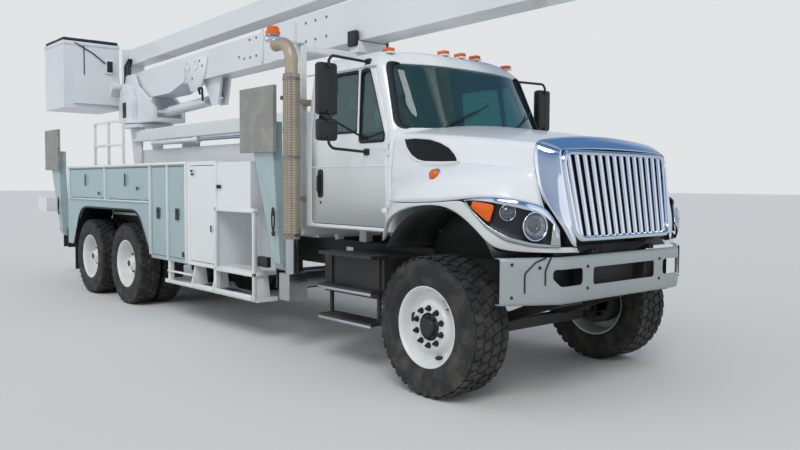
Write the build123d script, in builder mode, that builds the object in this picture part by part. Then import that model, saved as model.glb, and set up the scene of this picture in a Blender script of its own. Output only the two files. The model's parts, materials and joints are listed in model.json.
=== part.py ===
"""Aerial bucket truck on a three-axle bonneted chassis, in millimetres.

+X is forward, +Y is the truck's left and +Z is up, with the ground at z = 0.
Lengthwise places are stations: distances behind a line through the front wheels.
"""

import os
from math import atan2, cos, hypot, sin

from build123d import *

os.makedirs("parts", exist_ok=True)

# Fits between moving pieces
pin_clearance = 0.3
hinge_pin_radius = 4
knuckle_radius = 9
knuckle_length = 45
hinge_offset = 10
hinge_leaf_reach = 25
hinge_leaf_start = 3
hinge_sink = 1

# Overall reach
tail_station = 10030
elbow_station = -1450
elbow_head_radius = 200

# Axles and wheels
front_axle_station = 110
rear_axle_stations = (6170, 7540)
front_tyre_radius = 550
front_tyre_width = 390
front_tyre_y = 1080
rear_tyre_radius = 550
rear_tyre_width = 285
rear_tyre_ys = (745, 1075)
rim_radius = 300
rim_flange_radius = 322
rim_wall = 14
hub_radius = 105
drum_radius = 205
kingpin_y = 790
kingpin_radius = 30
spindle_radius = 42

# Frame
rail_front_station = -690
rail_rear_station = 9900
rail_outer_y = 430
rail_flange = 85
rail_web = 12
frame_bottom_z = 790
frame_top_z = 1060
crossmember_width = 90

# Cab
cab_back_station = 2170
cab_corner_station = 820
cowl_station = 520
cab_half_width = 1000
cowl_half_width = 450
cab_floor_z = 1230
belt_z = 2110
roof_edge_z = 2745
roof_top_z = 2835
roof_half_width = 925
screen_top_station = 880
screen_top_corner_station = 1075
roof_back_station = 2120
crown_side_inset = 90
crown_corner_inset = 90
crown_front_inset = 120
crown_back_inset = 70
cab_wall = 42
panel_gap = 7
door_front_station = 870
door_rear_station = 2015
door_bottom_z = 1275
door_top_z = 2712
door_shoulder_z = belt_z - 30
door_top_front_station = 1130
window_front_station = 915
window_rear_station = 1915
window_bottom_z = 2020
window_top_z = 2665
window_top_front_station = 1185
vent_rear_station = 1290
window_sill_z = 2110
window_shoulder_z = belt_z - 20
glass_thickness = 7
glass_depth = 16
glass_fit = 0.3

# Hood
hood_rear_station = 812
hood_gap = 8
nose_station = -690
nose_lean = 120
nose_half_width = 815
nose_edge_z = 1955
nose_top_z = 2030
nose_brow_station = -566
nose_brow_z = 1915
cowl_edge_z = 2075
cowl_top_z = 2195
nose_bottom_z = 1185
hood_half_width_rear = 985
fender_half_width = 1200
fender_wall = 26
nose_wall = 60
nose_run_on = 40
nose_bottom_drop = 60
cowl_edge_rise = 25
cowl_top_rise = 60
brow_rise = 6
brow_cut_height = 200
arch_radius = 625
arch_z = 905
hood_pivot_station = -795
hood_pivot_z = 1158
hood_pin_radius = 10
hood_lug_radius = 20
hood_lug_ys = (378, 402)
hood_ear_thickness = 12
hood_ear_gap = 2
hood_ear_foot = 90
hood_ear_sink = 5
hood_ear_rise = 20
grille_top_z = 1885
grille_bottom_z = 1262
grille_half_width_top = 676
grille_half_width_bottom = 615
grille_bar_count = 14
grille_bar_width = 34
grille_border = 60
grille_depth = 70
grille_stand_off = 12
grille_bar_depth = 30
grille_bar_overlap = 5

# Bumper
bumper_station = -830
bumper_flat_half_width = 766
bumper_inset = 20
bumper_half_width = fender_half_width - bumper_inset
bumper_sweep = 240
bumper_bottom_z = 790
bumper_top_z = 1130
bumper_plate = 10
bumper_flange = 45

# Utility body
body_outer_y = 1220
body_inner_y = 720
body_bottom_z = 700
body_top_z = 1895
body_rear_station = 8450
body_front_station = 3540
body_wall = 28
door_leaf = 26
step_box_front_station = 2800
step_box_bottom_z = 1350
step_box_top_z = 1875
arch_top_z = 1285
arch_stations = (5290, 5700, 7860, 8175)
step_frame_bottom_z = 425
step_frame_stations = (2700, 4900)
deck_z = 1200
subframe_top_z = 1160
shelf_top_z = 1390
shelf_bottom_z = 1110
shelf_half_width = 950

# Outriggers
outrigger_stations = (2330, 8850)
outrigger_pad = 650
outrigger_pad_thickness = 40
outrigger_pad_bottom_zs = (1960, 1850)
outrigger_pivot_z = 860
outrigger_pivot_y = 1090
outrigger_leg_thickness = 110
outrigger_foot_width = 170
outrigger_boss_radius = 80
outrigger_pin_radius = 25
outrigger_beam_bottom_z = 600

# Boom rest, rails and stack
rest_station = 2400
rest_half_width = 850
rest_tube = 65
rest_pad_height = 120
rest_pad_gap = 7
guard_rail_stations = (7240, 8400)
guard_rail_y = 800
guard_rail_top_z = 2595
guard_rail_tube = 36
stack_station = 2140
stack_y = 1150
stack_radius = 62
stack_shield_radius = 100
stack_shield_zs = (1120, 2690)
stack_bottom_z = 760
stack_top_z = 3010
stack_bend_radius = 190

# Elevator
pedestal_station = 3300
riser_station = 8200
lower_pin_z = 2030
upper_pin_z = 2400
elevator_pin_radius = 40
pin_head = 5
arm_half_width = 150
arm_height = 290
link_inner_y = 192
link_outer_y = 250
riser_cheek_inner_y = 156
riser_cheek_outer_y = 184
link_height = 190
cheek_inner_y = 262
cheek_outer_y = 300
riser_top_z = 2595
pedestal_top_z = 2560
pedestal_box_top_z = 1800
elevator_travel = 75
elevator_foot_station = 3660
elevator_foot_z = 1450
elevator_eye_station = 5000
elevator_eye_z = 1790
barrel_radius = 75
rod_radius = 38
eye_radius = 62
eye_half_width = 40
foot_pin_radius = 30
barrel_head_room = 340
barrel_foot_room = 150

# Turret and booms
turret_gap = 8
slew_ring_radius = 330
turret_plate = 60
turret_radius = 400
turret_cheek_inner_y = 205
turret_cheek_outer_y = 262
boom_pivot_station = 8330
boom_pivot_z = 3250
boom_pin_radius = 50
lower_boom_half_width = 150
lower_root_bottom_z = 3075
lower_root_top_z = 3440
boom_step_station = 3400
lower_step_bottom_z = 3155
lower_step_top_z = 3570
sleeve_step = 15
sleeve_drop = 8
sleeve_start_station = 4100
sleeve_side = 12
lower_tip_bottom_z = 3215
lower_tip_top_z = 3665
upper_boom_half_width = 120
upper_tip_station = 8540
upper_tip_bottom_z = 3605
upper_tip_top_z = 3860
upper_root_bottom_z = 3835
upper_root_top_z = 4105
elbow_z = 3970
elbow_cheek_inner_y = 158
elbow_cheek_outer_y = 205
lift_foot_station = 7500
lift_foot_z = 2760
lift_eye_station = 5750
lift_eye_z = 2840
boom_travel = 80
tip_post_station = 8620
tip_post_length = 80
tip_post_bottom_z = 3110
tip_post_outer_y = 235
platform_pivot_station = 8660
bracket_gap = 6
bracket_width = 160
platform_pivot_z = 3220
platform_pin_radius = 30
platform_boss_radius = 55
bucket_front_station = 8760
bucket_length = 940
bucket_inner_y = 258
bucket_width = 900
bucket_bottom_z = 2850
bucket_top_z = 3925
bucket_wall = 16
cover_overlap = 12
cover_height = 60

front_end_station = elbow_station - elbow_head_radius
zero_station_x = (tail_station + front_end_station) / 2


def at(station):
    """X of a station."""
    return zero_station_x - station


def sleeve_bottom_z(station):
    """Height of the lower boom's outer sleeve at its underside."""
    share = (sleeve_start_station - station) / (sleeve_start_station - elbow_station)
    start_z = lower_step_bottom_z - sleeve_drop
    return start_z + share * (lower_tip_bottom_z - start_z)


rest_pad_top_z = sleeve_bottom_z(rest_station) - rest_pad_gap
rest_top_z = rest_pad_top_z - rest_pad_height


def export(piece, name):
    """Label one finished piece and write it."""
    piece.part.label = name
    export_step(piece.part, f"parts/{name}.step")


def side_points(*pairs):
    """Station and height pairs as X and Z."""
    return [(at(station), z) for station, z in pairs]


def wide_plane(y):
    """Side-view plane at a given y, whose normal points to -Y."""
    return Plane.XZ.offset(-y)


def box_between(low, high, mode=Mode.ADD):
    """Box between two opposite corners."""
    size = [b - a for a, b in zip(low, high)]
    with Locations(tuple((a + b) / 2 for a, b in zip(low, high))):
        Box(*size, mode=mode)


def side_prism(points, y_low, y_high, mode=Mode.ADD):
    """Side outline, given in X and Z, made solid from y_low to y_high."""
    with BuildSketch(wide_plane(y_high)) as outline:
        Polygon(*points, align=None)
    extrude(outline.sketch, amount=y_high - y_low, mode=mode)


def tube_between(start, end, radius, mode=Mode.ADD):
    """Round bar from one point to another."""
    along = Vector(*end) - Vector(*start)
    with BuildSketch(Plane(origin=start, z_dir=along)) as section:
        Circle(radius)
    extrude(section.sketch, amount=along.length, mode=mode)


def cross_pin(station, z, radius, y_low, y_high, mode=Mode.ADD):
    """Round pin or bore across the truck."""
    tube_between((at(station), y_low, z), (at(station), y_high, z), radius, mode)


def box_spanning(first, second, mode=Mode.ADD):
    """Box between two opposite corners given in any order."""
    low = [min(pair) for pair in zip(first, second)]
    high = [max(pair) for pair in zip(first, second)]
    box_between(low, high, mode)


def fixed_hinge_half(pin, along, leaf, inward):
    """Outer two knuckles and the pin of a hinge, on the panel that stays."""
    pin, along, leaf, inward = Vector(pin), Vector(along), Vector(leaf), Vector(inward)
    for low, high in ((-1.5, -0.5), (0.5, 1.5)):
        start = pin + along * (low * knuckle_length)
        end = pin + along * (high * knuckle_length)
        tube_between(start, end, knuckle_radius)
        leaf_end = end + leaf * hinge_leaf_reach + inward * (hinge_offset + hinge_sink)
        box_spanning(start + leaf * hinge_leaf_start, leaf_end)
    tube_between(pin - along * knuckle_length, pin + along * knuckle_length, hinge_pin_radius)


def moving_hinge_half(pin, along, leaf, inward):
    """Middle knuckle of a hinge, on the panel that turns."""
    pin, along, leaf, inward = Vector(pin), Vector(along), Vector(leaf), Vector(inward)
    start = pin - along * (knuckle_length / 2 - pin_clearance)
    end = pin + along * (knuckle_length / 2 - pin_clearance)
    tube_between(start, end, knuckle_radius)
    leaf_end = end + leaf * hinge_leaf_reach + inward * (hinge_offset + hinge_sink)
    box_spanning(start + leaf * hinge_leaf_start, leaf_end)
    bore_radius = hinge_pin_radius + pin_clearance
    tube_between(pin - along * knuckle_length, pin + along * knuckle_length, bore_radius, Mode.SUBTRACT)


# Wheels

front_axle_x = at(front_axle_station)

rim_share = 0.80
tyre_outline = (
    # share of the half width, share of the tread height above the rim
    (rim_share, 0.00),
    (rim_share, 0.10),
    (1.00, 0.40),
    (1.00, 0.62),
    (0.92, 0.90),
    (0.80, 1.00),
)


def tyre_solid(station, y, radius, width):
    """One tyre as a ring of straight facets about its axle."""
    height = radius - rim_radius
    half = [(share * width / 2, rim_radius + rise * height) for share, rise in tyre_outline]
    outline = half + [(-across, up) for across, up in reversed(half)]
    with BuildSketch(Plane(origin=(at(station), y, radius), x_dir=(0, 1, 0), z_dir=(1, 0, 0))) as section:
        Polygon(*outline, align=None)
    revolve(section.sketch, axis=Axis((at(station), 0, radius), (0, 1, 0)))


def ring(station, z, y_low, y_high, outer, inner):
    """Ring about an axle."""
    with BuildSketch(Plane(origin=(at(station), y_low, z), x_dir=(1, 0, 0), z_dir=(0, 1, 0))) as section:
        Circle(outer)
        Circle(inner, mode=Mode.SUBTRACT)
    extrude(section.sketch, amount=y_high - y_low)


def rim_barrel(station, y, radius, width):
    """Rim barrel with its two flanges, inside the tyre."""
    half = rim_share * width / 2
    ring(station, radius, y - half, y + half, rim_radius, rim_radius - rim_wall)
    for end in (-1, 1):
        low = min(y + end * half, y + end * (half + rim_wall))
        ring(station, radius, low, low + rim_wall, rim_flange_radius, rim_radius - rim_wall)


disc_thickness = 16
join_overlap = 1
cap_thickness = 12
cap_bore_radius = 1
hub_bore_radius = spindle_radius + pin_clearance
disc_radius = rim_radius - rim_wall + join_overlap
drum_bore_radius = hub_radius - join_overlap
front_disc_offset = 70
front_hub_reach = 150
front_hub_start_y = kingpin_y + 130
spindle_reach = 130
rear_hub_start_y = rear_tyre_ys[0] - 100
rear_hub_end_y = rear_tyre_ys[1] + 110
rear_spindle_reach = 90
knuckle_half = 62
knuckle_half_height = 130
knuckle_inner_y = kingpin_y - 45
knuckle_outer_y = kingpin_y + 100
knuckle_slot_half_height = 80
knuckle_slot_ys = (kingpin_y - 50, kingpin_y + 66)
kingpin_half_length = 85
steering_arm_reach = 260
steering_arm_ys = (kingpin_y + 20, kingpin_y + 60)
steering_arm_height = 35

for side, side_name in ((-1, "right"), (1, "left")):
    with BuildPart() as front_tyre:
        tyre_solid(front_axle_station, side * front_tyre_y, front_tyre_radius, front_tyre_width)
    export(front_tyre, f"front_tyre_{side_name}")

    disc_ys = sorted(side * (front_tyre_y + front_disc_offset + depth) for depth in (0, disc_thickness))
    hub_ys = sorted((side * front_hub_start_y, side * (front_tyre_y + front_hub_reach)))
    drum_ys = sorted((side * front_hub_start_y, side * (front_tyre_y + front_disc_offset)))
    cap_ys = sorted(side * (front_tyre_y + front_hub_reach - depth) for depth in (0, cap_thickness))
    with BuildPart() as front_rim:
        rim_barrel(front_axle_station, side * front_tyre_y, front_tyre_radius, front_tyre_width)
        ring(front_axle_station, front_tyre_radius, *disc_ys, disc_radius, drum_bore_radius)
        ring(front_axle_station, front_tyre_radius, *hub_ys, hub_radius, hub_bore_radius)
        ring(front_axle_station, front_tyre_radius, *drum_ys, drum_radius, drum_bore_radius)
        ring(front_axle_station, front_tyre_radius, *cap_ys, hub_bore_radius + join_overlap, cap_bore_radius)
    export(front_rim, f"front_rim_{side_name}")

    with BuildPart() as knuckle:
        low, high = sorted((side * knuckle_inner_y, side * knuckle_outer_y))
        box_between(
            (front_axle_x - knuckle_half, low, front_tyre_radius - knuckle_half_height),
            (front_axle_x + knuckle_half, high, front_tyre_radius + knuckle_half_height),
        )
        low, high = sorted(side * y for y in knuckle_slot_ys)
        box_between(
            (front_axle_x - knuckle_half - join_overlap, low, front_tyre_radius - knuckle_slot_half_height),
            (front_axle_x + knuckle_half + join_overlap, high, front_tyre_radius + knuckle_slot_half_height),
            Mode.SUBTRACT,
        )
        tube_between(
            (front_axle_x, side * kingpin_y, front_tyre_radius - kingpin_half_length),
            (front_axle_x, side * kingpin_y, front_tyre_radius + kingpin_half_length),
            kingpin_radius,
        )
        tube_between(
            (front_axle_x, side * knuckle_outer_y, front_tyre_radius),
            (front_axle_x, side * (front_tyre_y + spindle_reach), front_tyre_radius),
            spindle_radius,
        )
        low, high = sorted(side * y for y in steering_arm_ys)
        arm_bottom_z = front_tyre_radius - knuckle_half_height
        box_between(
            (front_axle_x - steering_arm_reach, low, arm_bottom_z),
            (front_axle_x - knuckle_half + join_overlap, high, arm_bottom_z + steering_arm_height),
        )
    export(knuckle, f"knuckle_{side_name}")

    for axle_name, station in zip(("middle", "rear"), rear_axle_stations):
        with BuildPart() as rear_tyres:
            for y in rear_tyre_ys:
                tyre_solid(station, side * y, rear_tyre_radius, rear_tyre_width)
        export(rear_tyres, f"{axle_name}_tyres_{side_name}")

        middle_y = sum(rear_tyre_ys) / 2
        join_half = (rear_tyre_ys[1] - rear_tyre_ys[0] - rim_share * rear_tyre_width) / 2 + join_overlap
        disc_ys = sorted(side * (middle_y + depth) for depth in (-disc_thickness, disc_thickness))
        join_ys = sorted(side * (middle_y + depth) for depth in (-join_half, join_half))
        hub_ys = sorted((side * rear_hub_start_y, side * rear_hub_end_y))
        cap_ys = sorted(side * (rear_hub_end_y - depth) for depth in (0, cap_thickness))
        drum_ys = sorted((side * rear_hub_start_y, side * middle_y))
        with BuildPart() as rear_rims:
            for y in rear_tyre_ys:
                rim_barrel(station, side * y, rear_tyre_radius, rear_tyre_width)
            ring(station, rear_tyre_radius, *disc_ys, disc_radius, drum_bore_radius)
            ring(station, rear_tyre_radius, *join_ys, rim_radius, rim_radius - rim_wall)
            ring(station, rear_tyre_radius, *hub_ys, hub_radius, hub_bore_radius)
            ring(station, rear_tyre_radius, *cap_ys, hub_bore_radius + join_overlap, cap_bore_radius)
            ring(station, rear_tyre_radius, *drum_ys, drum_radius, drum_bore_radius)
        export(rear_rims, f"{axle_name}_rims_{side_name}")

# Axles, springs and frame

beam_half = 45
beam_drop = 90
beam_end_y = 700
beam_end_length = 80
knuckle_eye_half_height = 65
knuckle_boss_radius = 58
knuckle_boss_height = 140
spring_half_width = 36
spring_y = rail_outer_y - rail_flange / 2
spring_depth = 70
spring_pad_rise = 130
spring_seat_half = 90
spring_reaches = (660, 700)
spring_eye_length = 100
rear_spring_reach = 110
rear_spring_zs = (600, 670)
rear_spring_top_half = 140
rear_spring_seat_half = 75
housing_radius = 70
housing_gap = 12
banjo_radius = 205

with BuildPart() as axles:
    beam_z = front_tyre_radius - beam_drop
    eye_bottom_z = front_tyre_radius - knuckle_eye_half_height
    eye_top_z = front_tyre_radius + knuckle_eye_half_height
    spring_front = front_axle_station - spring_reaches[0]
    spring_rear = front_axle_station + spring_reaches[1]
    seat_front = front_axle_station - spring_seat_half
    seat_rear = front_axle_station + spring_seat_half
    box_between(
        (front_axle_x - beam_half, -beam_end_y, beam_z - beam_half),
        (front_axle_x + beam_half, beam_end_y, beam_z + beam_half),
    )
    for side in (-1, 1):
        for reach, bottom_z in ((beam_end_y, beam_z - beam_half), (kingpin_y, eye_bottom_z)):
            inner, outer = sorted((side * (beam_end_y - beam_end_length), side * reach))
            box_between(
                (front_axle_x - beam_half, inner, bottom_z),
                (front_axle_x + beam_half, outer, eye_top_z),
            )
        with Locations((front_axle_x, side * kingpin_y, front_tyre_radius)):
            Cylinder(knuckle_boss_radius, knuckle_boss_height)
            Cylinder(kingpin_radius + pin_clearance, knuckle_boss_height + 2, mode=Mode.SUBTRACT)
        side_prism(
            side_points(
                (spring_front, frame_bottom_z),
                (spring_front, frame_bottom_z - spring_depth),
                (seat_front, beam_z + beam_half),
                (seat_rear, beam_z + beam_half),
                (spring_rear, frame_bottom_z - spring_depth),
                (spring_rear, frame_bottom_z),
                (spring_rear - spring_eye_length, frame_bottom_z),
                (seat_rear, beam_z + spring_pad_rise),
                (seat_front, beam_z + spring_pad_rise),
                (spring_front + spring_eye_length, frame_bottom_z),
            ),
            side * spring_y - spring_half_width,
            side * spring_y + spring_half_width,
        )
    housing_end = rear_hub_start_y - housing_gap
    spindle_end = rear_tyre_ys[1] + rear_spindle_reach
    for station in rear_axle_stations:
        cross_pin(station, rear_tyre_radius, housing_radius, -housing_end, housing_end)
        cross_pin(station, rear_tyre_radius, spindle_radius, -spindle_end, spindle_end)
        with Locations((at(station), 0, rear_tyre_radius)):
            Sphere(banjo_radius)
    middle_station = sum(rear_axle_stations) / 2
    for side in (-1, 1):
        side_prism(
            side_points(
                (rear_axle_stations[0] - rear_spring_reach, rear_spring_zs[0]),
                (rear_axle_stations[1] + rear_spring_reach, rear_spring_zs[0]),
                (rear_axle_stations[1] + rear_spring_reach, rear_spring_zs[1]),
                (middle_station + rear_spring_top_half, frame_bottom_z),
                (middle_station - rear_spring_top_half, frame_bottom_z),
                (rear_axle_stations[0] - rear_spring_reach, rear_spring_zs[1]),
            ),
            side * spring_y - spring_half_width,
            side * spring_y + spring_half_width,
        )
        for station in rear_axle_stations:
            low, high = side * spring_y - spring_half_width, side * spring_y + spring_half_width
            box_between(
                (at(station) - rear_spring_seat_half, low, rear_tyre_radius),
                (at(station) + rear_spring_seat_half, high, rear_spring_zs[1]),
            )
export(axles, "axles")

crossmember_count = 10
outrigger_beam_half = 1000
outrigger_beam_gap = 5
outrigger_foot_offset = 70
outrigger_ear_thickness = 25
outrigger_ear_gap = 5
outrigger_ear_start_y = 960
outrigger_ear_reach = 40
outrigger_ear_rise = 60
outrigger_hanger_width = 60
beam_seat_depth = 3

with BuildPart() as chassis_frame:
    for side in (-1, 1):
        low, high = sorted((side * rail_outer_y, side * (rail_outer_y - rail_flange)))
        box_between(
            (at(rail_rear_station), low, frame_bottom_z), (at(rail_front_station), high, frame_top_z)
        )
        inner, web = sorted((side * (rail_outer_y - rail_flange), side * (rail_outer_y - rail_web)))
        box_between(
            (at(rail_rear_station), inner, frame_bottom_z + rail_web),
            (at(rail_front_station), web, frame_top_z - rail_web),
            Mode.SUBTRACT,
        )
    spacing = (rail_rear_station - rail_front_station - crossmember_width) / (crossmember_count - 1)
    for step in range(crossmember_count):
        middle = rail_front_station + crossmember_width / 2 + step * spacing
        web_y = rail_outer_y - rail_web
        box_between(
            (at(middle) - crossmember_width / 2, -web_y, frame_bottom_z + 2 * rail_web),
            (at(middle) + crossmember_width / 2, web_y, frame_top_z - 2 * rail_web),
        )
    for station in outrigger_stations:
        foot_x = at(station - outrigger_foot_offset)
        foot_rear_x = foot_x - outrigger_foot_width
        box_between(
            (foot_rear_x - outrigger_beam_gap, -outrigger_beam_half, outrigger_beam_bottom_z),
            (foot_x + outrigger_beam_gap, outrigger_beam_half, frame_bottom_z - beam_seat_depth + 1),
        )
        ear_top_z = outrigger_pivot_z + outrigger_ear_rise
        ear_end_y = outrigger_pivot_y + outrigger_ear_reach
        rear_ear_x = foot_rear_x - outrigger_ear_gap - outrigger_ear_thickness
        front_ear_x = foot_x + outrigger_ear_gap
        for side in (-1, 1):
            low, high = sorted((side * (rail_outer_y - outrigger_hanger_width), side * rail_outer_y))
            box_between(
                (foot_rear_x + outrigger_beam_gap, low, frame_bottom_z - beam_seat_depth),
                (foot_x - outrigger_beam_gap, high, frame_bottom_z),
            )
            low, high = sorted((side * outrigger_ear_start_y, side * ear_end_y))
            for x in (rear_ear_x, front_ear_x):
                box_between(
                    (x, low, outrigger_beam_bottom_z), (x + outrigger_ear_thickness, high, ear_top_z)
                )
            tube_between(
                (rear_ear_x, side * outrigger_pivot_y, outrigger_pivot_z),
                (front_ear_x + outrigger_ear_thickness, side * outrigger_pivot_y, outrigger_pivot_z),
                outrigger_pin_radius,
            )
    for side in (-1, 1):
        inner_ear = hood_lug_ys[0] - hood_ear_gap - hood_ear_thickness
        outer_ear = hood_lug_ys[1] + hood_ear_gap
        for ear in (inner_ear, outer_ear):
            low, high = sorted((side * ear, side * (ear + hood_ear_thickness)))
            side_prism(
                side_points(
                    (rail_front_station + hood_ear_foot, frame_top_z - hood_ear_sink),
                    (rail_front_station + hood_ear_sink, frame_top_z - hood_ear_sink),
                    (hood_pivot_station + 2 * hood_lug_radius, hood_pivot_z - hood_lug_radius),
                    (hood_pivot_station - hood_lug_radius, hood_pivot_z - hood_lug_radius),
                    (hood_pivot_station - hood_lug_radius, hood_pivot_z),
                    (hood_pivot_station - hood_lug_radius / 2, hood_pivot_z + hood_lug_radius),
                    (hood_pivot_station + hood_lug_radius / 2, hood_pivot_z + hood_lug_radius),
                    (rail_front_station + hood_ear_foot, frame_top_z + hood_ear_rise),
                ),
                low,
                high,
            )
        pin_ends = sorted((side * inner_ear, side * (outer_ear + hood_ear_thickness)))
        cross_pin(hood_pivot_station, hood_pivot_z, hood_pin_radius, *pin_ends)
export(chassis_frame, "chassis_frame")

engine_half_width = 320
engine_mount_overlap = 10
engine_mount_reach = rail_outer_y - 30
engine_mount_stations = (0, 100)
engine_mount_height = 80
engine_table = (
    # front station, rear station, half width, low z, high z
    (-340, 460, engine_half_width, frame_top_z + 8, 1640),
    (-300, 420, 180, 640, frame_top_z + 8),
    (-480, -340, 60, 1120, 1240),
    (-560, -480, 400, frame_top_z, 1800),
)

with BuildPart() as engine:
    for front, rear, half_width, low_z, high_z in engine_table:
        box_between((at(rear), -half_width, low_z), (at(front), half_width, high_z))
    for side in (-1, 1):
        low, high = sorted((side * (engine_half_width - engine_mount_overlap), side * engine_mount_reach))
        box_between(
            (at(engine_mount_stations[1]), low, frame_top_z),
            (at(engine_mount_stations[0]), high, frame_top_z + engine_mount_height),
        )
export(engine, "engine")

tank_radius = 300
tank_y = 780
tank_stations = (900, 2050)
tank_z = 760
tank_bracket_stations = (1100, 1850)
tank_bracket_half = 40
tank_bracket_height = 110
tank_bracket_sink = 20
step_box_rear_station = 1780
step_box_y = 1010
step_box_zs = (640, 1000)
tread_stations = (920, 1700)
tread_zs = (420, 700, 1000)
tread_thickness = 28
tread_ys = (940, 1140)
tread_post_half = 15
tread_post_inset = 40
tread_post_ys = (1000, 1030)

with BuildPart() as side_tanks:
    with BuildSketch(Plane.YZ.offset(at(tank_stations[1]))):
        with Locations((tank_y, tank_z)):
            Circle(tank_radius)
    extrude(amount=tank_stations[1] - tank_stations[0])
    bracket_bottom_z = tank_z + tank_bracket_half
    for station in tank_bracket_stations:
        box_between(
            (at(station) - tank_bracket_half, rail_outer_y, bracket_bottom_z),
            (
                at(station) + tank_bracket_half,
                tank_y - tank_radius + tank_bracket_sink,
                bracket_bottom_z + tank_bracket_height,
            ),
        )
    box_between(
        (at(step_box_rear_station), -step_box_y, step_box_zs[0]),
        (at(tank_stations[0]), -rail_outer_y, step_box_zs[1]),
    )
    for side in (-1, 1):
        low, high = sorted(side * y for y in tread_ys)
        for z in tread_zs:
            box_between((at(tread_stations[1]), low, z), (at(tread_stations[0]), high, z + tread_thickness))
        low, high = sorted(side * y for y in tread_post_ys)
        for station in (tread_stations[0] + tread_post_inset, tread_stations[1] - tread_post_inset):
            box_between(
                (at(station) - tread_post_half, low, tread_zs[0]),
                (at(station) + tread_post_half, high, tread_zs[2] + join_overlap),
            )
export(side_tanks, "side_tanks")

# Cab


def cab_plan(inset, half_width, corner_station, front_station, front_half_width, back_station):
    """Cab outline seen from above, moved inwards by the inset."""
    side_y = half_width - inset
    front_y = front_half_width - inset / 2
    right = [
        (at(back_station - inset), -side_y),
        (at(corner_station + inset), -side_y),
        (at(front_station + inset), -front_y),
    ]
    return right + [(x, -y) for x, y in reversed(right)]


def cab_section(inset, z, half_width, corner_station, front_station, back_station):
    """Horizontal cab section at one height."""
    with BuildSketch(Plane.XY.offset(z)) as section:
        outline = cab_plan(inset, half_width, corner_station, front_station, cowl_half_width, back_station)
        Polygon(*outline, align=None)
    return section.sketch


def cab_volume(inset):
    """Cab block with every face moved inwards by the inset."""
    side = cab_half_width, cab_corner_station, cowl_station, cab_back_station
    eaves = roof_half_width, screen_top_corner_station, screen_top_station, roof_back_station
    crown = (
        roof_half_width - crown_side_inset,
        screen_top_corner_station + crown_corner_inset,
        screen_top_station + crown_front_inset,
        roof_back_station - crown_back_inset,
    )
    sections = [
        cab_section(inset, cab_floor_z + inset, *side),
        cab_section(inset, belt_z, *side),
        cab_section(inset, roof_edge_z - inset / 3, *eaves),
        cab_section(inset, roof_top_z - inset, *crown),
    ]
    with BuildPart() as block:
        for below, above in zip(sections, sections[1:]):
            loft([below, above], ruled=True)
    return block.part


def door_outline(margin):
    """Door outline on the cab side, in X and Z, moved outwards by the margin."""
    return side_points(
        (door_front_station - margin, door_bottom_z - margin),
        (door_rear_station + margin, door_bottom_z - margin),
        (door_rear_station + margin, door_top_z + margin),
        (door_top_front_station - margin / 2, door_top_z + margin),
        (door_front_station - margin, door_shoulder_z),
    )


door_depth_y = roof_half_width - 120
door_cut_reach = cab_half_width + 50
cab_mount_stations = (700, 1950)
cab_mount_half_length = 60
cab_mount_half_width = 45
cab_mount_y = 380
cab_mount_sink = 5
screen_cut_margin = 60
screen_cut_length = 900
rear_window_cut = (60, 120)
window_outline = side_points(
    (window_front_station, window_bottom_z),
    (vent_rear_station, window_bottom_z),
    (vent_rear_station, window_sill_z),
    (window_rear_station, window_sill_z),
    (window_rear_station, window_top_z),
    (window_top_front_station, window_top_z),
    (window_front_station, window_shoulder_z),
)
rear_window_half_width = 480
rear_window_zs = (2150, 2560)
screen_bottom_z = belt_z + 15
screen_top_z = roof_edge_z - 23
screen_bottom_half_width = 950
screen_top_half_width = 862

cab_outer = cab_volume(0)
cab_inner = cab_volume(cab_wall)
glass_outer = cab_volume(glass_depth)
glass_inner = cab_volume(glass_depth + glass_thickness)


def screen_prism(margin):
    """Windscreen outline seen from the front, as a solid along X."""
    with BuildPart() as prism:
        with BuildSketch(Plane.YZ.offset(at(screen_top_corner_station + screen_cut_margin))):
            Polygon(
                (-screen_bottom_half_width + margin, screen_bottom_z + margin),
                (screen_bottom_half_width - margin, screen_bottom_z + margin),
                (screen_top_half_width - margin, screen_top_z - margin),
                (-screen_top_half_width + margin, screen_top_z - margin),
                align=None,
            )
        extrude(amount=screen_cut_length)
    return prism.part


def rear_window_prism(margin):
    """Rear window block."""
    with BuildPart() as prism:
        half_width = rear_window_half_width - margin
        box_between(
            (at(cab_back_station) - rear_window_cut[0], -half_width, rear_window_zs[0] + margin),
            (at(cab_back_station) + rear_window_cut[1], half_width, rear_window_zs[1] - margin),
        )
    return prism.part


door_hinge_zs = (1420, 1960)


def door_hinge_places(side):
    """Pin, line, fixed leaf, moving leaf and inward directions of one cab door's hinges."""
    for z in door_hinge_zs:
        pin = at(door_front_station), side * (cab_half_width + hinge_offset), z
        yield pin, (0, 0, 1), (1, 0, 0), (-1, 0, 0), (0, -side, 0)


screen_cut = screen_prism(0)
screen_fill = screen_prism(glass_fit)
rear_cut = rear_window_prism(0)
rear_fill = rear_window_prism(glass_fit)

with BuildPart() as cab_shell:
    add(cab_outer)
    add(cab_inner, mode=Mode.SUBTRACT)
    add(screen_cut, mode=Mode.SUBTRACT)
    add(rear_cut, mode=Mode.SUBTRACT)
    for side in (-1, 1):
        low, high = sorted((side * door_depth_y, side * door_cut_reach))
        side_prism(door_outline(panel_gap), low, high, Mode.SUBTRACT)
        for station in cab_mount_stations:
            box_between(
                (
                    at(station) - cab_mount_half_length,
                    side * cab_mount_y - cab_mount_half_width,
                    frame_top_z,
                ),
                (
                    at(station) + cab_mount_half_length,
                    side * cab_mount_y + cab_mount_half_width,
                    cab_floor_z + cab_mount_sink,
                ),
            )
        for pin, along, fixed_leaf, moving_leaf, inward in door_hinge_places(side):
            fixed_hinge_half(pin, along, fixed_leaf, inward)
export(cab_shell, "cab_shell")

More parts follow.
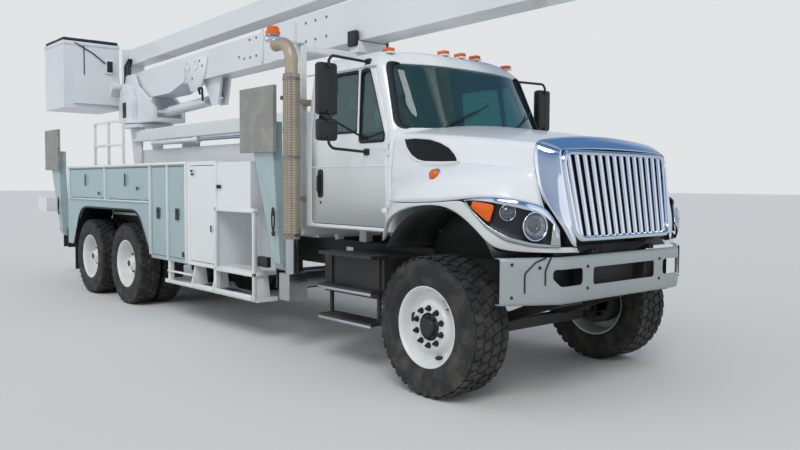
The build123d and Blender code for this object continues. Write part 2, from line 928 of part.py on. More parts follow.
with BuildPart() as cab_glass:
    add(glass_outer)
    add(glass_inner, mode=Mode.SUBTRACT)
    add(Part() + screen_fill + rear_fill, mode=Mode.INTERSECT)
export(cab_glass, "cab_glass")

mirror_station = 1150
mirror_y = 1430
mirror_half_width = 100
mirror_zs = (2225, 2665)
lower_mirror_zs = (2010, 2200)
mirror_depth = 90
mirror_arm_radius = 14
mirror_arm_zs = (1935, 2705)
mirror_foot_stations = (1170, 1240)
mirror_lower_foot_y = cab_half_width - 30
mirror_upper_foot_y = roof_half_width + 5
mirror_upper_foot_drop = 20

for side, side_name in ((-1, "right"), (1, "left")):
    ends = sorted((side * door_cut_reach, side * door_depth_y))
    with BuildPart() as cab_door:
        add(cab_outer)
        add(cab_inner, mode=Mode.SUBTRACT)
        side_prism(door_outline(0), ends[0], ends[1], Mode.INTERSECT)
        side_prism(window_outline, ends[0], ends[1], Mode.SUBTRACT)
        for pin, along, fixed_leaf, moving_leaf, inward in door_hinge_places(side):
            moving_hinge_half(pin, along, moving_leaf, inward)
    export(cab_door, f"cab_door_{side_name}")

    with BuildPart() as door_glass:
        add(glass_outer)
        add(glass_inner, mode=Mode.SUBTRACT)
        side_prism(window_outline, ends[0], ends[1], Mode.INTERSECT)
    export(door_glass, f"door_glass_{side_name}")

    with BuildPart() as mirror:
        low, high = sorted((side * (mirror_y - mirror_half_width), side * (mirror_y + mirror_half_width)))
        mirror_x = at(mirror_station)
        for bottom_z, top_z in (mirror_zs, lower_mirror_zs):
            box_between((mirror_x - mirror_depth, low, bottom_z), (mirror_x, high, top_z))
        post_x = mirror_x - mirror_depth / 2
        post_ends = [(post_x, side * mirror_y, z) for z in mirror_arm_zs]
        foot_table = (
            # across, height
            (mirror_lower_foot_y, mirror_arm_zs[0]),
            (mirror_upper_foot_y, mirror_arm_zs[1] - mirror_upper_foot_drop),
        )
        for foot_station, (foot_y, foot_z), post_end in zip(mirror_foot_stations, foot_table, post_ends):
            tube_between((at(foot_station), side * foot_y, foot_z), post_end, mirror_arm_radius)
        tube_between(*post_ends, mirror_arm_radius)
        add(cab_outer, mode=Mode.SUBTRACT)
    export(mirror, f"mirror_{side_name}")

seat_stations = (1430, 1930)
seat_half_width = 260
seat_y = 480
seat_base_height = 280
seat_cushion_height = 140
seat_cushion_overhang = 60
seat_back_outline = (
    # behind the seat's rear edge, above the cushion
    (-90, -10),
    (20, -10),
    (110, 700),
    (20, 700),
)
dash_half_width = 880
dash_outline = (
    # behind the cowl, above the floor
    (330, 0),
    (560, 420),
    (520, 700),
    (330, 720),
)
wheel_station = cowl_station + 640
wheel_height = 700
wheel_radius = 225
wheel_rim = 25
wheel_spoke_width = 40
wheel_tilt = (-0.85, 0, 0.5)
column_station = cowl_station + 480
column_height = 600
column_radius = 30

with BuildPart() as cab_interior:
    floor = cab_floor_z + cab_wall
    cushion_z = floor + seat_base_height
    seat_top_z = cushion_z + seat_cushion_height
    seat_front, seat_rear = seat_stations
    for side in (-1, 1):
        low, high = side * seat_y - seat_half_width, side * seat_y + seat_half_width
        box_between((at(seat_rear), low, floor), (at(seat_front), high, cushion_z))
        cushion_rear = seat_rear + seat_cushion_overhang
        box_between((at(cushion_rear), low, cushion_z), (at(seat_front), high, seat_top_z))
        back_points = [(seat_rear + behind, seat_top_z + above) for behind, above in seat_back_outline]
        side_prism(side_points(*back_points), low, high)
    dash_points = [(cowl_station + behind, floor + above) for behind, above in dash_outline]
    side_prism(side_points(*dash_points), -dash_half_width, dash_half_width)
    hub = at(wheel_station), seat_y, floor + wheel_height
    with BuildSketch(Plane(origin=hub, z_dir=wheel_tilt)):
        Circle(wheel_radius)
        Circle(wheel_radius - wheel_rim, mode=Mode.SUBTRACT)
        Rectangle(2 * wheel_radius - wheel_rim, wheel_spoke_width)
    extrude(amount=wheel_rim, both=True)
    tube_between((at(column_station), seat_y, floor + column_height), hub, column_radius)
export(cab_interior, "cab_interior")

# Hood with its fenders

fender_outline = side_points(
    (hood_rear_station, 1000),
    (600, 1000),
    (-560, nose_bottom_z),
    (-740, nose_bottom_z),
    (-765, 1260),
    (-700, 1400),
    (-560, 1500),
    (-330, 1630),
    (-60, 1715),
    (160, 1745),
    (400, 1700),
    (600, 1590),
    (730, 1440),
    (hood_rear_station, 1260),
)


def nose_section(station, lean, half_width, bottom_z, edge_z, top_z, inset):
    """Crowned hood section on a plane across the truck, leaning back at its top."""
    height = top_z - bottom_z
    stretch = hypot(lean, height) / height
    normal = (1 / stretch, 0, lean / height / stretch)
    plane = Plane(origin=(at(station), 0, bottom_z), x_dir=(0, 1, 0), z_dir=normal)
    side = half_width - inset
    edge = (edge_z - inset - bottom_z) * stretch
    top = (top_z - inset - bottom_z) * stretch
    with BuildSketch(plane) as section:
        with BuildLine():
            Polyline((side, edge), (side, 0), (-side, 0), (-side, edge))
            ThreePointArc((-side, edge), (0, top), (side, edge))
        make_face()
    return section.sketch


def nose_volume(inset, front_inset):
    """Hood nose from the cab to the grille, moved inwards."""
    rear = nose_section(
        hood_rear_station + nose_run_on,
        0,
        hood_half_width_rear,
        nose_bottom_z - nose_bottom_drop,
        cowl_edge_z + cowl_edge_rise,
        cowl_top_z + cowl_top_rise,
        inset,
    )
    front = nose_section(
        nose_station - nose_lean + front_inset,
        nose_lean,
        nose_half_width,
        nose_bottom_z,
        nose_edge_z,
        nose_top_z,
        inset,
    )
    with BuildPart() as volume:
        loft([rear, front], ruled=True)
    return volume.part


def brow_cut(inset):
    """Wedge taken off the nose's top where it slopes down to the grille, lowered by the inset."""
    with BuildPart() as wedge:
        side_prism(
            side_points(
                (nose_brow_station, nose_top_z + brow_rise - inset),
                (nose_station - nose_lean / 2, nose_brow_z - inset),
                (nose_station - 2 * nose_lean, nose_brow_z - inset),
                (nose_station - 2 * nose_lean, nose_top_z + brow_cut_height),
                (nose_brow_station, nose_top_z + brow_cut_height),
            ),
            -fender_half_width,
            fender_half_width,
        )
    return wedge.part


nose_outer = nose_volume(0, 0) - brow_cut(0)
nose_inner = nose_volume(fender_wall, nose_wall) - brow_cut(fender_wall)

grille_tilt = atan2(nose_lean, nose_top_z - nose_bottom_z)
grille_plane = Plane(
    origin=(at(nose_station - nose_lean), 0, nose_bottom_z),
    x_dir=(0, 1, 0),
    z_dir=(cos(grille_tilt), 0, sin(grille_tilt)),
)


def grille_outline(border):
    """Grille opening, widened by the border, in the grille's own plane."""
    low = (grille_bottom_z - nose_bottom_z) / cos(grille_tilt) - border
    high = (grille_top_z - nose_bottom_z) / cos(grille_tilt) + border
    return [
        (grille_half_width_bottom + border, low),
        (grille_half_width_top + border, high),
        (-grille_half_width_top - border, high),
        (-grille_half_width_bottom - border, low),
    ]


lamp_outline = side_points((-330, 1530), (-330, 1420), (-600, 1200), (-900, 1180), (-900, 1560))
lamp_y = 835
lamp_depth = 70
side_margin = 20
cut_length = 300
fender_bottom_z = 900
room_rear_margin = 50
room_front_stations = (-540, -660)
room_half_width = 900
room_top_zs = (nose_bottom_z + fender_wall + 20, 1500)
hood_cut_half_width = fender_half_width + 100
hood_cut_height = 1500
grille_cut_depths = (200, 260)
lug_half_length = 15
lug_sink = 8

with BuildPart() as fender_block:
    side_prism(fender_outline, -fender_half_width, fender_half_width)
fender_solid = fender_block.part

with BuildPart() as hood_room:
    add(nose_inner)
    with BuildSketch(wide_plane(fender_half_width - fender_wall)):
        Polygon(*fender_outline, align=None)
        offset(amount=-fender_wall, mode=Mode.REPLACE)
    extrude(amount=2 * (fender_half_width - fender_wall))
    room_half_widths = (fender_half_width - fender_wall, room_half_width)
    for front, half_width, top_z in zip(room_front_stations, room_half_widths, room_top_zs):
        box_between(
            (at(hood_rear_station) - room_rear_margin, -half_width, fender_bottom_z),
            (at(front), half_width, top_z),
        )
hood_inside = hood_room.part

with BuildPart() as hood:
    add(fender_solid)
    add(nose_outer)
    add(hood_inside, mode=Mode.SUBTRACT)
    arch_half_width = fender_half_width + side_margin
    cross_pin(front_axle_station, arch_z, arch_radius, -arch_half_width, arch_half_width, Mode.SUBTRACT)
    with BuildSketch(Plane.XY.offset(fender_bottom_z)):
        Polygon(
            (at(hood_rear_station + cut_length), -hood_cut_half_width),
            (at(hood_rear_station), -hood_cut_half_width),
            (at(hood_rear_station), 1 - cab_half_width),
            (at(cowl_station - hood_gap), -cowl_half_width),
            (at(cowl_station - hood_gap), cowl_half_width),
            (at(hood_rear_station), cab_half_width - 1),
            (at(hood_rear_station), hood_cut_half_width),
            (at(hood_rear_station + cut_length), hood_cut_half_width),
            align=None,
        )
    extrude(amount=hood_cut_height, mode=Mode.SUBTRACT)
    with BuildSketch(grille_plane.offset(-grille_cut_depths[0])):
        Polygon(*grille_outline(grille_border), align=None)
    extrude(amount=grille_cut_depths[1], mode=Mode.SUBTRACT)
    for side in (-1, 1):
        low, high = sorted((side * lamp_y, side * arch_half_width))
        side_prism(lamp_outline, low, high, Mode.SUBTRACT)
    for side in (-1, 1):
        low, high = sorted(side * y for y in hood_lug_ys)
        cross_pin(hood_pivot_station, hood_pivot_z, hood_lug_radius, low, high)
        box_between(
            (at(hood_pivot_station) - lug_half_length, low, hood_pivot_z),
            (at(hood_pivot_station) + lug_half_length, high, nose_bottom_z + lug_sink),
        )
        bore_radius = hood_pin_radius + pin_clearance
        cross_pin(hood_pivot_station, hood_pivot_z, bore_radius, low - 1, high + 1, Mode.SUBTRACT)
export(hood, "hood")

with BuildPart() as headlamps:
    add(fender_solid)
    add(hood_inside.moved(Location((-lamp_depth, 0, 0))), mode=Mode.SUBTRACT)
    with BuildPart(mode=Mode.PRIVATE) as lamp_zone:
        for side in (-1, 1):
            low, high = sorted((side * (lamp_y + 1), side * arch_half_width))
            side_prism(lamp_outline, low, high)
    add(lamp_zone.part, mode=Mode.INTERSECT)

with BuildPart() as grille:
    add(headlamps.part)
    with BuildSketch(grille_plane.offset(-grille_depth)):
        Polygon(*grille_outline(grille_border), align=None)
        Polygon(*grille_outline(0), align=None, mode=Mode.SUBTRACT)
    extrude(amount=grille_depth + grille_stand_off)
    with BuildSketch(grille_plane.offset(-grille_bar_depth)):
        pitch = 2 * grille_half_width_bottom / grille_bar_count
        low = (grille_bottom_z - nose_bottom_z) / cos(grille_tilt) - grille_bar_overlap
        high = (grille_top_z - nose_bottom_z) / cos(grille_tilt) + grille_bar_overlap
        spread = grille_half_width_top / grille_half_width_bottom
        for step in range(grille_bar_count):
            y = (step - (grille_bar_count - 1) / 2) * pitch
            Polygon(
                (y - grille_bar_width / 2, low),
                (y + grille_bar_width / 2, low),
                (y * spread + grille_bar_width / 2, high),
                (y * spread - grille_bar_width / 2, high),
                align=None,
            )
    extrude(amount=grille_bar_depth)
export(grille, "grille")

# Bumper

slot_half_width = 418
slot_zs = (908, 1042)
slot_cut_depth = 30
side_hole_ys = (545, 800)
side_hole_cut_depth = 60
bumper_cut_margin = 5
bumper_bracket_side = 8
bumper_bracket_inset = 20

with BuildPart() as front_bumper:
    cut_half_width = bumper_half_width + bumper_cut_margin
    cut_rear_station = bumper_station + bumper_flange + bumper_cut_margin
    with BuildSketch(Plane.XY.offset(bumper_bottom_z)):
        Polygon(
            (at(bumper_station), -bumper_flat_half_width),
            (at(bumper_station), bumper_flat_half_width),
            (at(bumper_station + bumper_sweep), bumper_half_width),
            (at(bumper_station + bumper_sweep + bumper_flange), bumper_half_width),
            (at(bumper_station + bumper_flange), bumper_flat_half_width),
            (at(bumper_station + bumper_flange), -bumper_flat_half_width),
            (at(bumper_station + bumper_sweep + bumper_flange), -bumper_half_width),
            (at(bumper_station + bumper_sweep), -bumper_half_width),
            align=None,
        )
    extrude(amount=bumper_top_z - bumper_bottom_z)
    with BuildSketch(Plane.XY.offset(bumper_bottom_z + bumper_plate)):
        Polygon(
            (at(bumper_station + bumper_plate), -bumper_flat_half_width),
            (at(bumper_station + bumper_plate), bumper_flat_half_width),
            (at(bumper_station + bumper_sweep + bumper_plate), cut_half_width),
            (at(cut_rear_station + bumper_sweep), cut_half_width),
            (at(cut_rear_station), bumper_flat_half_width),
            (at(cut_rear_station), -bumper_flat_half_width),
            (at(cut_rear_station + bumper_sweep), -cut_half_width),
            (at(bumper_station + bumper_sweep + bumper_plate), -cut_half_width),
            align=None,
        )
    extrude(amount=bumper_top_z - bumper_bottom_z - 2 * bumper_plate, mode=Mode.SUBTRACT)
    box_between(
        (at(bumper_station) - slot_cut_depth, -slot_half_width, slot_zs[0]),
        (at(bumper_station) + bumper_cut_margin, slot_half_width, slot_zs[1]),
        Mode.SUBTRACT,
    )
    for side in (-1, 1):
        low, high = sorted((side * side_hole_ys[0], side * side_hole_ys[1]))
        box_between(
            (at(bumper_station) - side_hole_cut_depth, low, slot_zs[0]),
            (at(bumper_station) + bumper_cut_margin, high, slot_zs[1]),
            Mode.SUBTRACT,
        )
        inner, outer = sorted((side * (rail_outer_y - rail_web), side * rail_outer_y))
        box_between(
            (at(rail_front_station), inner - bumper_bracket_side, frame_bottom_z + bumper_bracket_inset),
            (
                at(bumper_station + bumper_plate / 2),
                outer + bumper_bracket_side,
                frame_top_z - bumper_bracket_inset,
            ),
        )
export(front_bumper, "front_bumper")

# Exhaust stack

stack_bracket_zs = (1500, 2450)
stack_bracket_half = 25
stack_clamp_lengths = (15, 55)
stack_post_lap = 20
stack_clamp_y = stack_y - 65
stack_outlet_length = 100
muffler_box = (-85, 95)
muffler_ys = (-90, 120)
muffler_bottom_z = 520
muffler_lap = 20
stack_foot_half = 60
stack_foot_zs = (640, 1000)
stack_foot_plate = 12

with BuildPart() as exhaust_stack:
    with BuildLine() as stack_path:
        rise = Line(
            (at(stack_station), -stack_y, stack_bottom_z),
            (at(stack_station), -stack_y, stack_top_z - stack_bend_radius),
        )
        bend = TangentArc(
            rise @ 1,
            (at(stack_station + stack_bend_radius), -stack_y, stack_top_z),
            tangent=rise % 1,
        )
        outlet_station = stack_station + stack_bend_radius + stack_outlet_length
        Line(bend @ 1, (at(outlet_station), -stack_y, stack_top_z))
    with BuildSketch(Plane(origin=rise @ 0, z_dir=rise % 0)):
        Circle(stack_radius)
    sweep()
    tube_between(*((at(stack_station), -stack_y, z) for z in stack_shield_zs), stack_shield_radius)
    box_between(
        (at(stack_station) + muffler_box[0], -stack_y + muffler_ys[0], muffler_bottom_z),
        (at(stack_station) + muffler_box[1], -stack_y + muffler_ys[1], stack_bottom_z + muffler_lap),
    )
    foot_rear_x, foot_front_x = at(stack_station) - stack_foot_half, at(stack_station) + stack_foot_half
    box_between(
        (foot_rear_x, -stack_y + muffler_ys[1] - muffler_lap, stack_foot_zs[0]),
        (foot_front_x, -rail_outer_y, frame_bottom_z),
    )
    box_between(
        (foot_rear_x, -rail_outer_y - stack_foot_plate, stack_foot_zs[0]),
        (foot_front_x, -rail_outer_y, stack_foot_zs[1]),
    )
    clamp_front, clamp_rear = (cab_back_station + length for length in stack_clamp_lengths)
    for z in stack_bracket_zs:
        box_between(
            (at(rest_station) + rest_tube / 2, -rest_half_width - stack_post_lap, z - stack_bracket_half),
            (at(clamp_front), -rest_half_width + stack_post_lap, z + stack_bracket_half),
        )
        box_between(
            (at(clamp_rear), -stack_clamp_y, z - stack_bracket_half),
            (at(clamp_front), -rest_half_width + stack_post_lap, z + stack_bracket_half),
        )
export(exhaust_stack, "exhaust_stack")

# Utility body

bay_table = (
    # name, front station, rear station, low z, high z, sides, hinge
    ("rear_bin", 6865, 8330, 1420, 1850, (-1, 1), "low"),
    ("middle_bin", 5330, 6815, 1420, 1850, (-1, 1), "low"),
    ("bay", 4795, 5245, 745, 1850, (-1,), "front"),
    ("front_bay", 4300, 4750, 745, 1850, (-1,), "front"),
    ("cabinet", 3580, 4180, 745, 1850, (-1,), "front"),
)
bay_back_y = body_inner_y + body_wall
bay_hinge_inset = 140
step_post_stations = (step_frame_stations[1] - 120, 3600, step_frame_stations[0] + 60)
step_post_half = 30
step_post_thickness = 50
step_tread_width = 250
step_tread_thickness = 45
step_outer_y = body_outer_y - 10


def body_hinge_places(side, front, rear, low_z, high_z, hinge):
    """Pin, line, fixed leaf, moving leaf and inward directions of one body door's hinges."""
    pin_y = side * (body_outer_y + hinge_offset)
    if hinge == "low":
        for station in (front + bay_hinge_inset, rear - bay_hinge_inset):
            yield (at(station), pin_y, low_z + panel_gap), (1, 0, 0), (0, 0, -1), (0, 0, 1), (0, -side, 0)
    else:
        for z in (low_z + bay_hinge_inset, high_z - bay_hinge_inset):
            yield (at(front + panel_gap), pin_y, z), (0, 0, 1), (1, 0, 0), (-1, 0, 0), (0, -side, 0)


for side, side_name in ((-1, "right"), (1, "left")):
    with BuildPart() as side_body:
        low, high = sorted((side * body_inner_y, side * body_outer_y))
        box_between((at(body_rear_station), low, body_bottom_z), (at(body_front_station), high, body_top_z))
        side_prism(
            side_points(
                (arch_stations[0], body_bottom_z - 1),
                (arch_stations[1], arch_top_z),
                (arch_stations[2], arch_top_z),
                (arch_stations[3], body_bottom_z - 1),
            ),
            low - 1,
            high + 1,
            Mode.SUBTRACT,
        )
        for name, front, rear, low_z, high_z, sides, hinge in bay_table:
            if side in sides:
                inner, outer = sorted((side * bay_back_y, side * (body_outer_y + 1)))
                box_between((at(rear), inner, low_z), (at(front), outer, high_z), Mode.SUBTRACT)
                for pin, along, fixed_leaf, moving_leaf, inward in body_hinge_places(
                    side, front, rear, low_z, high_z, hinge
                ):
                    fixed_hinge_half(pin, along, fixed_leaf, inward)
        box_between(
            (at(body_front_station) - 1, low, step_box_bottom_z),
            (at(step_box_front_station), high, step_box_top_z),
        )
        post_low, post_high = sorted((side * (step_outer_y - step_post_thickness), side * step_outer_y))
        for station in step_post_stations:
            top_z = body_bottom_z if station > body_front_station else step_box_bottom_z
            box_between(
                (at(station) - step_post_half, post_low, step_frame_bottom_z),
                (at(station) + step_post_half, post_high, top_z + 1),
            )
        tread_low, tread_high = sorted((side * (step_outer_y - step_tread_width), side * step_outer_y))
        box_between(
            (at(step_frame_stations[1]), tread_low, step_frame_bottom_z),
            (at(step_frame_stations[0]), tread_high, step_frame_bottom_z + step_tread_thickness),
        )
        box_between(
            (at(body_front_station) - 1, tread_low, body_bottom_z),
            (at(step_frame_stations[0]), tread_high, body_bottom_z + step_tread_thickness),
        )
        wall_low, wall_high = sorted((side * body_inner_y, side * (body_inner_y + body_wall)))
        box_between(
            (at(body_front_station) - 1, wall_low, body_bottom_z),
            (at(step_box_front_station), wall_high, step_box_bottom_z + 1),
        )
    export(side_body, f"side_body_{side_name}")

    for name, front, rear, low_z, high_z, sides, hinge in bay_table:
        if side in sides:
            with BuildPart() as body_door:
                inner, outer = sorted((side * (body_outer_y - door_leaf), side * body_outer_y))
                box_between(
                    (at(rear) + panel_gap, inner, low_z + panel_gap),
                    (at(front) - panel_gap, outer, high_z - panel_gap),
                )
                for pin, along, fixed_leaf, moving_leaf, inward in body_hinge_places(
                    side, front, rear, low_z, high_z, hinge
                ):
                    moving_hinge_half(pin, along, moving_leaf, inward)
            export(body_door, f"{name}_door_{side_name}")

deck_half_width = body_inner_y - 2
deck_front_station = 2720
tail_beam_station = 9560
tail_beam_height = 230
rest_foot_z = frame_top_z + 60
rest_foot_height = 100
rest_foot_y = 385
rest_foot_half = 40
rest_pad_half_length = 70
rest_pad_half_width = 200
guard_rail_middle_z = 2200
deck_table = (
    # front station, rear station, half width, low z, high z
    (deck_front_station, body_rear_station, deck_half_width, subframe_top_z, deck_z),
    (deck_front_station, body_rear_station, rail_outer_y, frame_top_z, subframe_top_z),
    (body_rear_station, rail_rear_station, shelf_half_width, shelf_bottom_z, shelf_top_z),
    (body_rear_station, rail_rear_station, rail_outer_y, frame_top_z, shelf_bottom_z),
    (tail_beam_station, tail_station, body_outer_y, shelf_top_z - tail_beam_height, shelf_top_z),
)

with BuildPart() as deck:
    for front, rear, half_width, low_z, high_z in deck_table:
        box_between((at(rear), -half_width, low_z), (at(front), half_width, high_z))
    half = rest_tube / 2
    rest_foot_top_z = rest_foot_z + rest_foot_height
    for side in (-1, 1):
        box_between(
            (at(rest_station) - half, side * rest_half_width - half, rest_foot_z + rest_tube),
            (at(rest_station) + half, side * rest_half_width + half, rest_top_z),
        )
    for low_z, high_z in ((rest_top_z - rest_tube, rest_top_z), (rest_foot_z, rest_foot_top_z)):
        box_between(
            (at(rest_station) - half, -rest_half_width, low_z),
            (at(rest_station) + half, rest_half_width, high_z),
        )
    for side in (-1, 1):
        box_between(
            (at(rest_station) - half, side * rest_foot_y - rest_foot_half, frame_top_z),
            (at(rest_station) + half, side * rest_foot_y + rest_foot_half, rest_foot_z + 1),
        )
    box_between(
        (at(rest_station) - rest_pad_half_length, -rest_pad_half_width, rest_top_z),
        (at(rest_station) + rest_pad_half_length, rest_pad_half_width, rest_pad_top_z),
    )
    rail_half = guard_rail_tube / 2
    rear, front = guard_rail_stations[1], guard_rail_stations[0]
    for station in (rear, (rear + front) / 2, front):
        box_between(
            (at(station) - rail_half, -guard_rail_y - rail_half, body_top_z),
            (at(station) + rail_half, -guard_rail_y + rail_half, guard_rail_top_z),
        )
    for z in (guard_rail_top_z - guard_rail_tube, guard_rail_middle_z):
        box_between(
            (at(rear), -guard_rail_y - rail_half, z),
            (at(front), -guard_rail_y + rail_half, z + guard_rail_tube),
        )
export(deck, "deck")

# Outriggers

leg_inset = 10
leg_waist_rise = 110
leg_outline_stations = (70, 440)
leg_top_rise = 300

for place, station, pad_z in zip(("front", "rear"), outrigger_stations, outrigger_pad_bottom_zs):
    foot = station - outrigger_foot_offset
    for side, side_name in ((-1, "right"), (1, "left")):
        with BuildPart() as outrigger_leg:
            low, high = sorted(
                (side * outrigger_pivot_y, side * (outrigger_pivot_y + outrigger_leg_thickness))
            )
            side_prism(
                side_points(
                    (foot + leg_inset, outrigger_pivot_z),
                    (foot + outrigger_foot_width - leg_inset, outrigger_pivot_z),
                    (foot + outrigger_foot_width - leg_inset, outrigger_pivot_z + leg_waist_rise),
                    (station + leg_outline_stations[1], pad_z),
                    (station + leg_outline_stations[1], pad_z + leg_top_rise),
                    (station + leg_outline_stations[0], pad_z + leg_top_rise),
                    (station + leg_outline_stations[0], pad_z),
                ),
                low,
                high,
            )
            tube_between(
                (at(foot + outrigger_foot_width - leg_inset), side * outrigger_pivot_y, outrigger_pivot_z),
                (at(foot + leg_inset), side * outrigger_pivot_y, outrigger_pivot_z),
                outrigger_boss_radius,
            )
            tube_between(
                (at(foot + outrigger_foot_width), side * outrigger_pivot_y, outrigger_pivot_z),
                (at(foot), side * outrigger_pivot_y, outrigger_pivot_z),
                outrigger_pin_radius + pin_clearance,
                Mode.SUBTRACT,
            )
            pad_low, pad_high = sorted(
                (
                    side * (outrigger_pivot_y + outrigger_leg_thickness - 1),
                    side * (outrigger_pivot_y + outrigger_leg_thickness + outrigger_pad_thickness),
                )
            )
            box_between(
                (at(station + outrigger_pad), pad_low, pad_z),
                (at(station), pad_high, pad_z + outrigger_pad),
            )
        export(outrigger_leg, f"outrigger_{place}_{side_name}")

# Elevator

pedestal_rear_station = pedestal_station + 260
pedestal_front_station = pedestal_station - 220
cheek_taper = 100
ear_gap = 6
pedestal_ear_thickness = 25
arm_ear_thickness = 30
ear_half = 70
pin_overhang = 10

with BuildPart() as pedestal:
    box_between(
        (at(pedestal_rear_station), -cheek_outer_y, deck_z),
        (at(pedestal_front_station), cheek_outer_y, pedestal_box_top_z),
    )
    for side in (-1, 1):
        low, high = sorted((side * cheek_inner_y, side * cheek_outer_y))
        side_prism(
            side_points(
                (pedestal_rear_station, pedestal_box_top_z),
                (pedestal_rear_station - cheek_taper, pedestal_top_z),
                (pedestal_front_station + cheek_taper, pedestal_top_z),
                (pedestal_front_station, pedestal_box_top_z),
            ),
            low,
            high,
        )
    cross_pin(pedestal_station, lower_pin_z, elevator_pin_radius, -cheek_outer_y, cheek_outer_y)
    for side in (-1, 1):
        stub = sorted((side * (link_inner_y - pin_head), side * cheek_outer_y))
        cross_pin(pedestal_station, upper_pin_z, elevator_pin_radius, *stub)
    for side in (-1, 1):
        ear = sorted(side * (eye_half_width + ear_gap + depth) for depth in (0, pedestal_ear_thickness))
        side_prism(
            side_points(
                (pedestal_rear_station - 1, elevator_foot_z - 2 * ear_half),
                (elevator_foot_station + ear_half, elevator_foot_z - ear_half),
                (elevator_foot_station + ear_half, elevator_foot_z + ear_half),
                (pedestal_rear_station - 1, elevator_foot_z + 2 * ear_half),
            ),
            *ear,
        )
    pin_half = eye_half_width + pin_overhang
    cross_pin(elevator_foot_station, elevator_foot_z, foot_pin_radius, -pin_half, pin_half)
export(pedestal, "pedestal")

arm_low_z = lower_pin_z - arm_height / 2
arm_high_z = lower_pin_z + arm_height / 2

with BuildPart() as elevator_arm:
    box_between(
        (at(riser_station), -arm_half_width, arm_low_z), (at(pedestal_station), arm_half_width, arm_high_z)
    )
    for station in (pedestal_station, riser_station):
        cross_pin(station, lower_pin_z, arm_height / 2, -arm_half_width, arm_half_width)
    bore_radius = elevator_pin_radius + pin_clearance
    for station in (pedestal_station, riser_station):
        cross_pin(station, lower_pin_z, bore_radius, -arm_half_width - 1, arm_half_width + 1, Mode.SUBTRACT)
    for side in (-1, 1):
        ear = sorted(side * (eye_half_width + ear_gap + depth) for depth in (0, arm_ear_thickness))
        side_prism(
            side_points(
                (elevator_eye_station + 2 * ear_half, arm_low_z + 1),
                (elevator_eye_station + ear_half, elevator_eye_z - ear_half),
                (elevator_eye_station - ear_half, elevator_eye_z - ear_half),
                (elevator_eye_station - 2 * ear_half, arm_low_z + 1),
            ),
            *ear,
        )
export(elevator_arm, "elevator_arm")

with BuildPart() as elevator_link:
    for side in (-1, 1):
        low, high = sorted((side * link_inner_y, side * link_outer_y))
        box_between(
            (at(riser_station), low, upper_pin_z - link_height / 2),
            (at(pedestal_station), high, upper_pin_z + link_height / 2),
        )
        for station in (pedestal_station, riser_station):
            cross_pin(station, upper_pin_z, link_height / 2, low, high)
            cross_pin(
                station, upper_pin_z, elevator_pin_radius + pin_clearance, low - 1, high + 1, Mode.SUBTRACT
            )
export(elevator_link, "elevator_link")

riser_foot_drop = 110
riser_foot_stations = (120, 150)
riser_top_stations = (260, 300)
riser_waist = 160
riser_plate_inset = 20

with BuildPart() as riser:
    for side in (-1, 1):
        low, high = sorted((side * riser_cheek_inner_y, side * riser_cheek_outer_y))
        side_prism(
            side_points(
                (riser_station - riser_foot_stations[0], lower_pin_z - riser_foot_drop),
                (riser_station + riser_foot_stations[1], lower_pin_z - riser_foot_drop),
                (riser_station + riser_top_stations[1], riser_top_z),
                (riser_station - riser_top_stations[0], riser_top_z),
                (riser_station - riser_waist, upper_pin_z),
            ),
            low,
            high,
        )
    with Locations((at(riser_station), 0, riser_top_z - turret_plate / 2)):
        Cylinder(turret_radius - riser_plate_inset, turret_plate)
    box_between(
        (at(riser_station + riser_top_stations[1]), -cheek_outer_y, riser_top_z - turret_plate),
        (at(riser_station - riser_top_stations[0]), cheek_outer_y, riser_top_z),
    )
    cross_pin(riser_station, lower_pin_z, elevator_pin_radius, -riser_cheek_outer_y, riser_cheek_outer_y)
    cross_pin(
        riser_station, upper_pin_z, elevator_pin_radius, -link_outer_y - pin_head, link_outer_y + pin_head
    )
    with Locations((at(riser_station), 0, riser_top_z + (turret_gap - pin_clearance) / 2)):
        Cylinder(slew_ring_radius, turret_gap - pin_clearance)
export(riser, "riser")


barrel_bore_start = 60
barrel_eye_margin = 60
rod_start = 70
rod_eye_lap = 30


def cylinder_pair(name, foot, eye):
    """Hydraulic barrel pinned at its foot and the rod that slides out of it."""
    (foot_station, foot_z), (eye_station, eye_z) = foot, eye
    start = Vector(at(foot_station), 0, foot_z)
    end = Vector(at(eye_station), 0, eye_z)
    along = (end - start).normalized()
    closed = (end - start).length
    barrel_end = closed - barrel_head_room
    with BuildPart() as barrel:
        tube_between(start + along * barrel_foot_room, start + along * barrel_end, barrel_radius)
        tube_between(
            start + along * (barrel_foot_room + barrel_bore_start),
            start + along * (barrel_end + 1),
            rod_radius + pin_clearance,
            Mode.SUBTRACT,
        )
        cross_pin(foot_station, foot_z, eye_radius, -eye_half_width, eye_half_width)
        tube_between(start, start + along * (barrel_foot_room + 1), eye_half_width - 2)
        bore_half = eye_half_width + barrel_eye_margin
        bore_radius = foot_pin_radius + pin_clearance
        cross_pin(foot_station, foot_z, bore_radius, -bore_half, bore_half, Mode.SUBTRACT)
    export(barrel, f"{name}_barrel")
    with BuildPart() as rod:
        tube_between(start + along * (barrel_foot_room + rod_start), end - along * rod_eye_lap, rod_radius)
        cross_pin(eye_station, eye_z, eye_radius, -eye_half_width, eye_half_width)
    export(rod, f"{name}_rod")


cylinder_pair(
    "elevator", (elevator_foot_station, elevator_foot_z), (elevator_eye_station, elevator_eye_z)
)

# Turret and booms

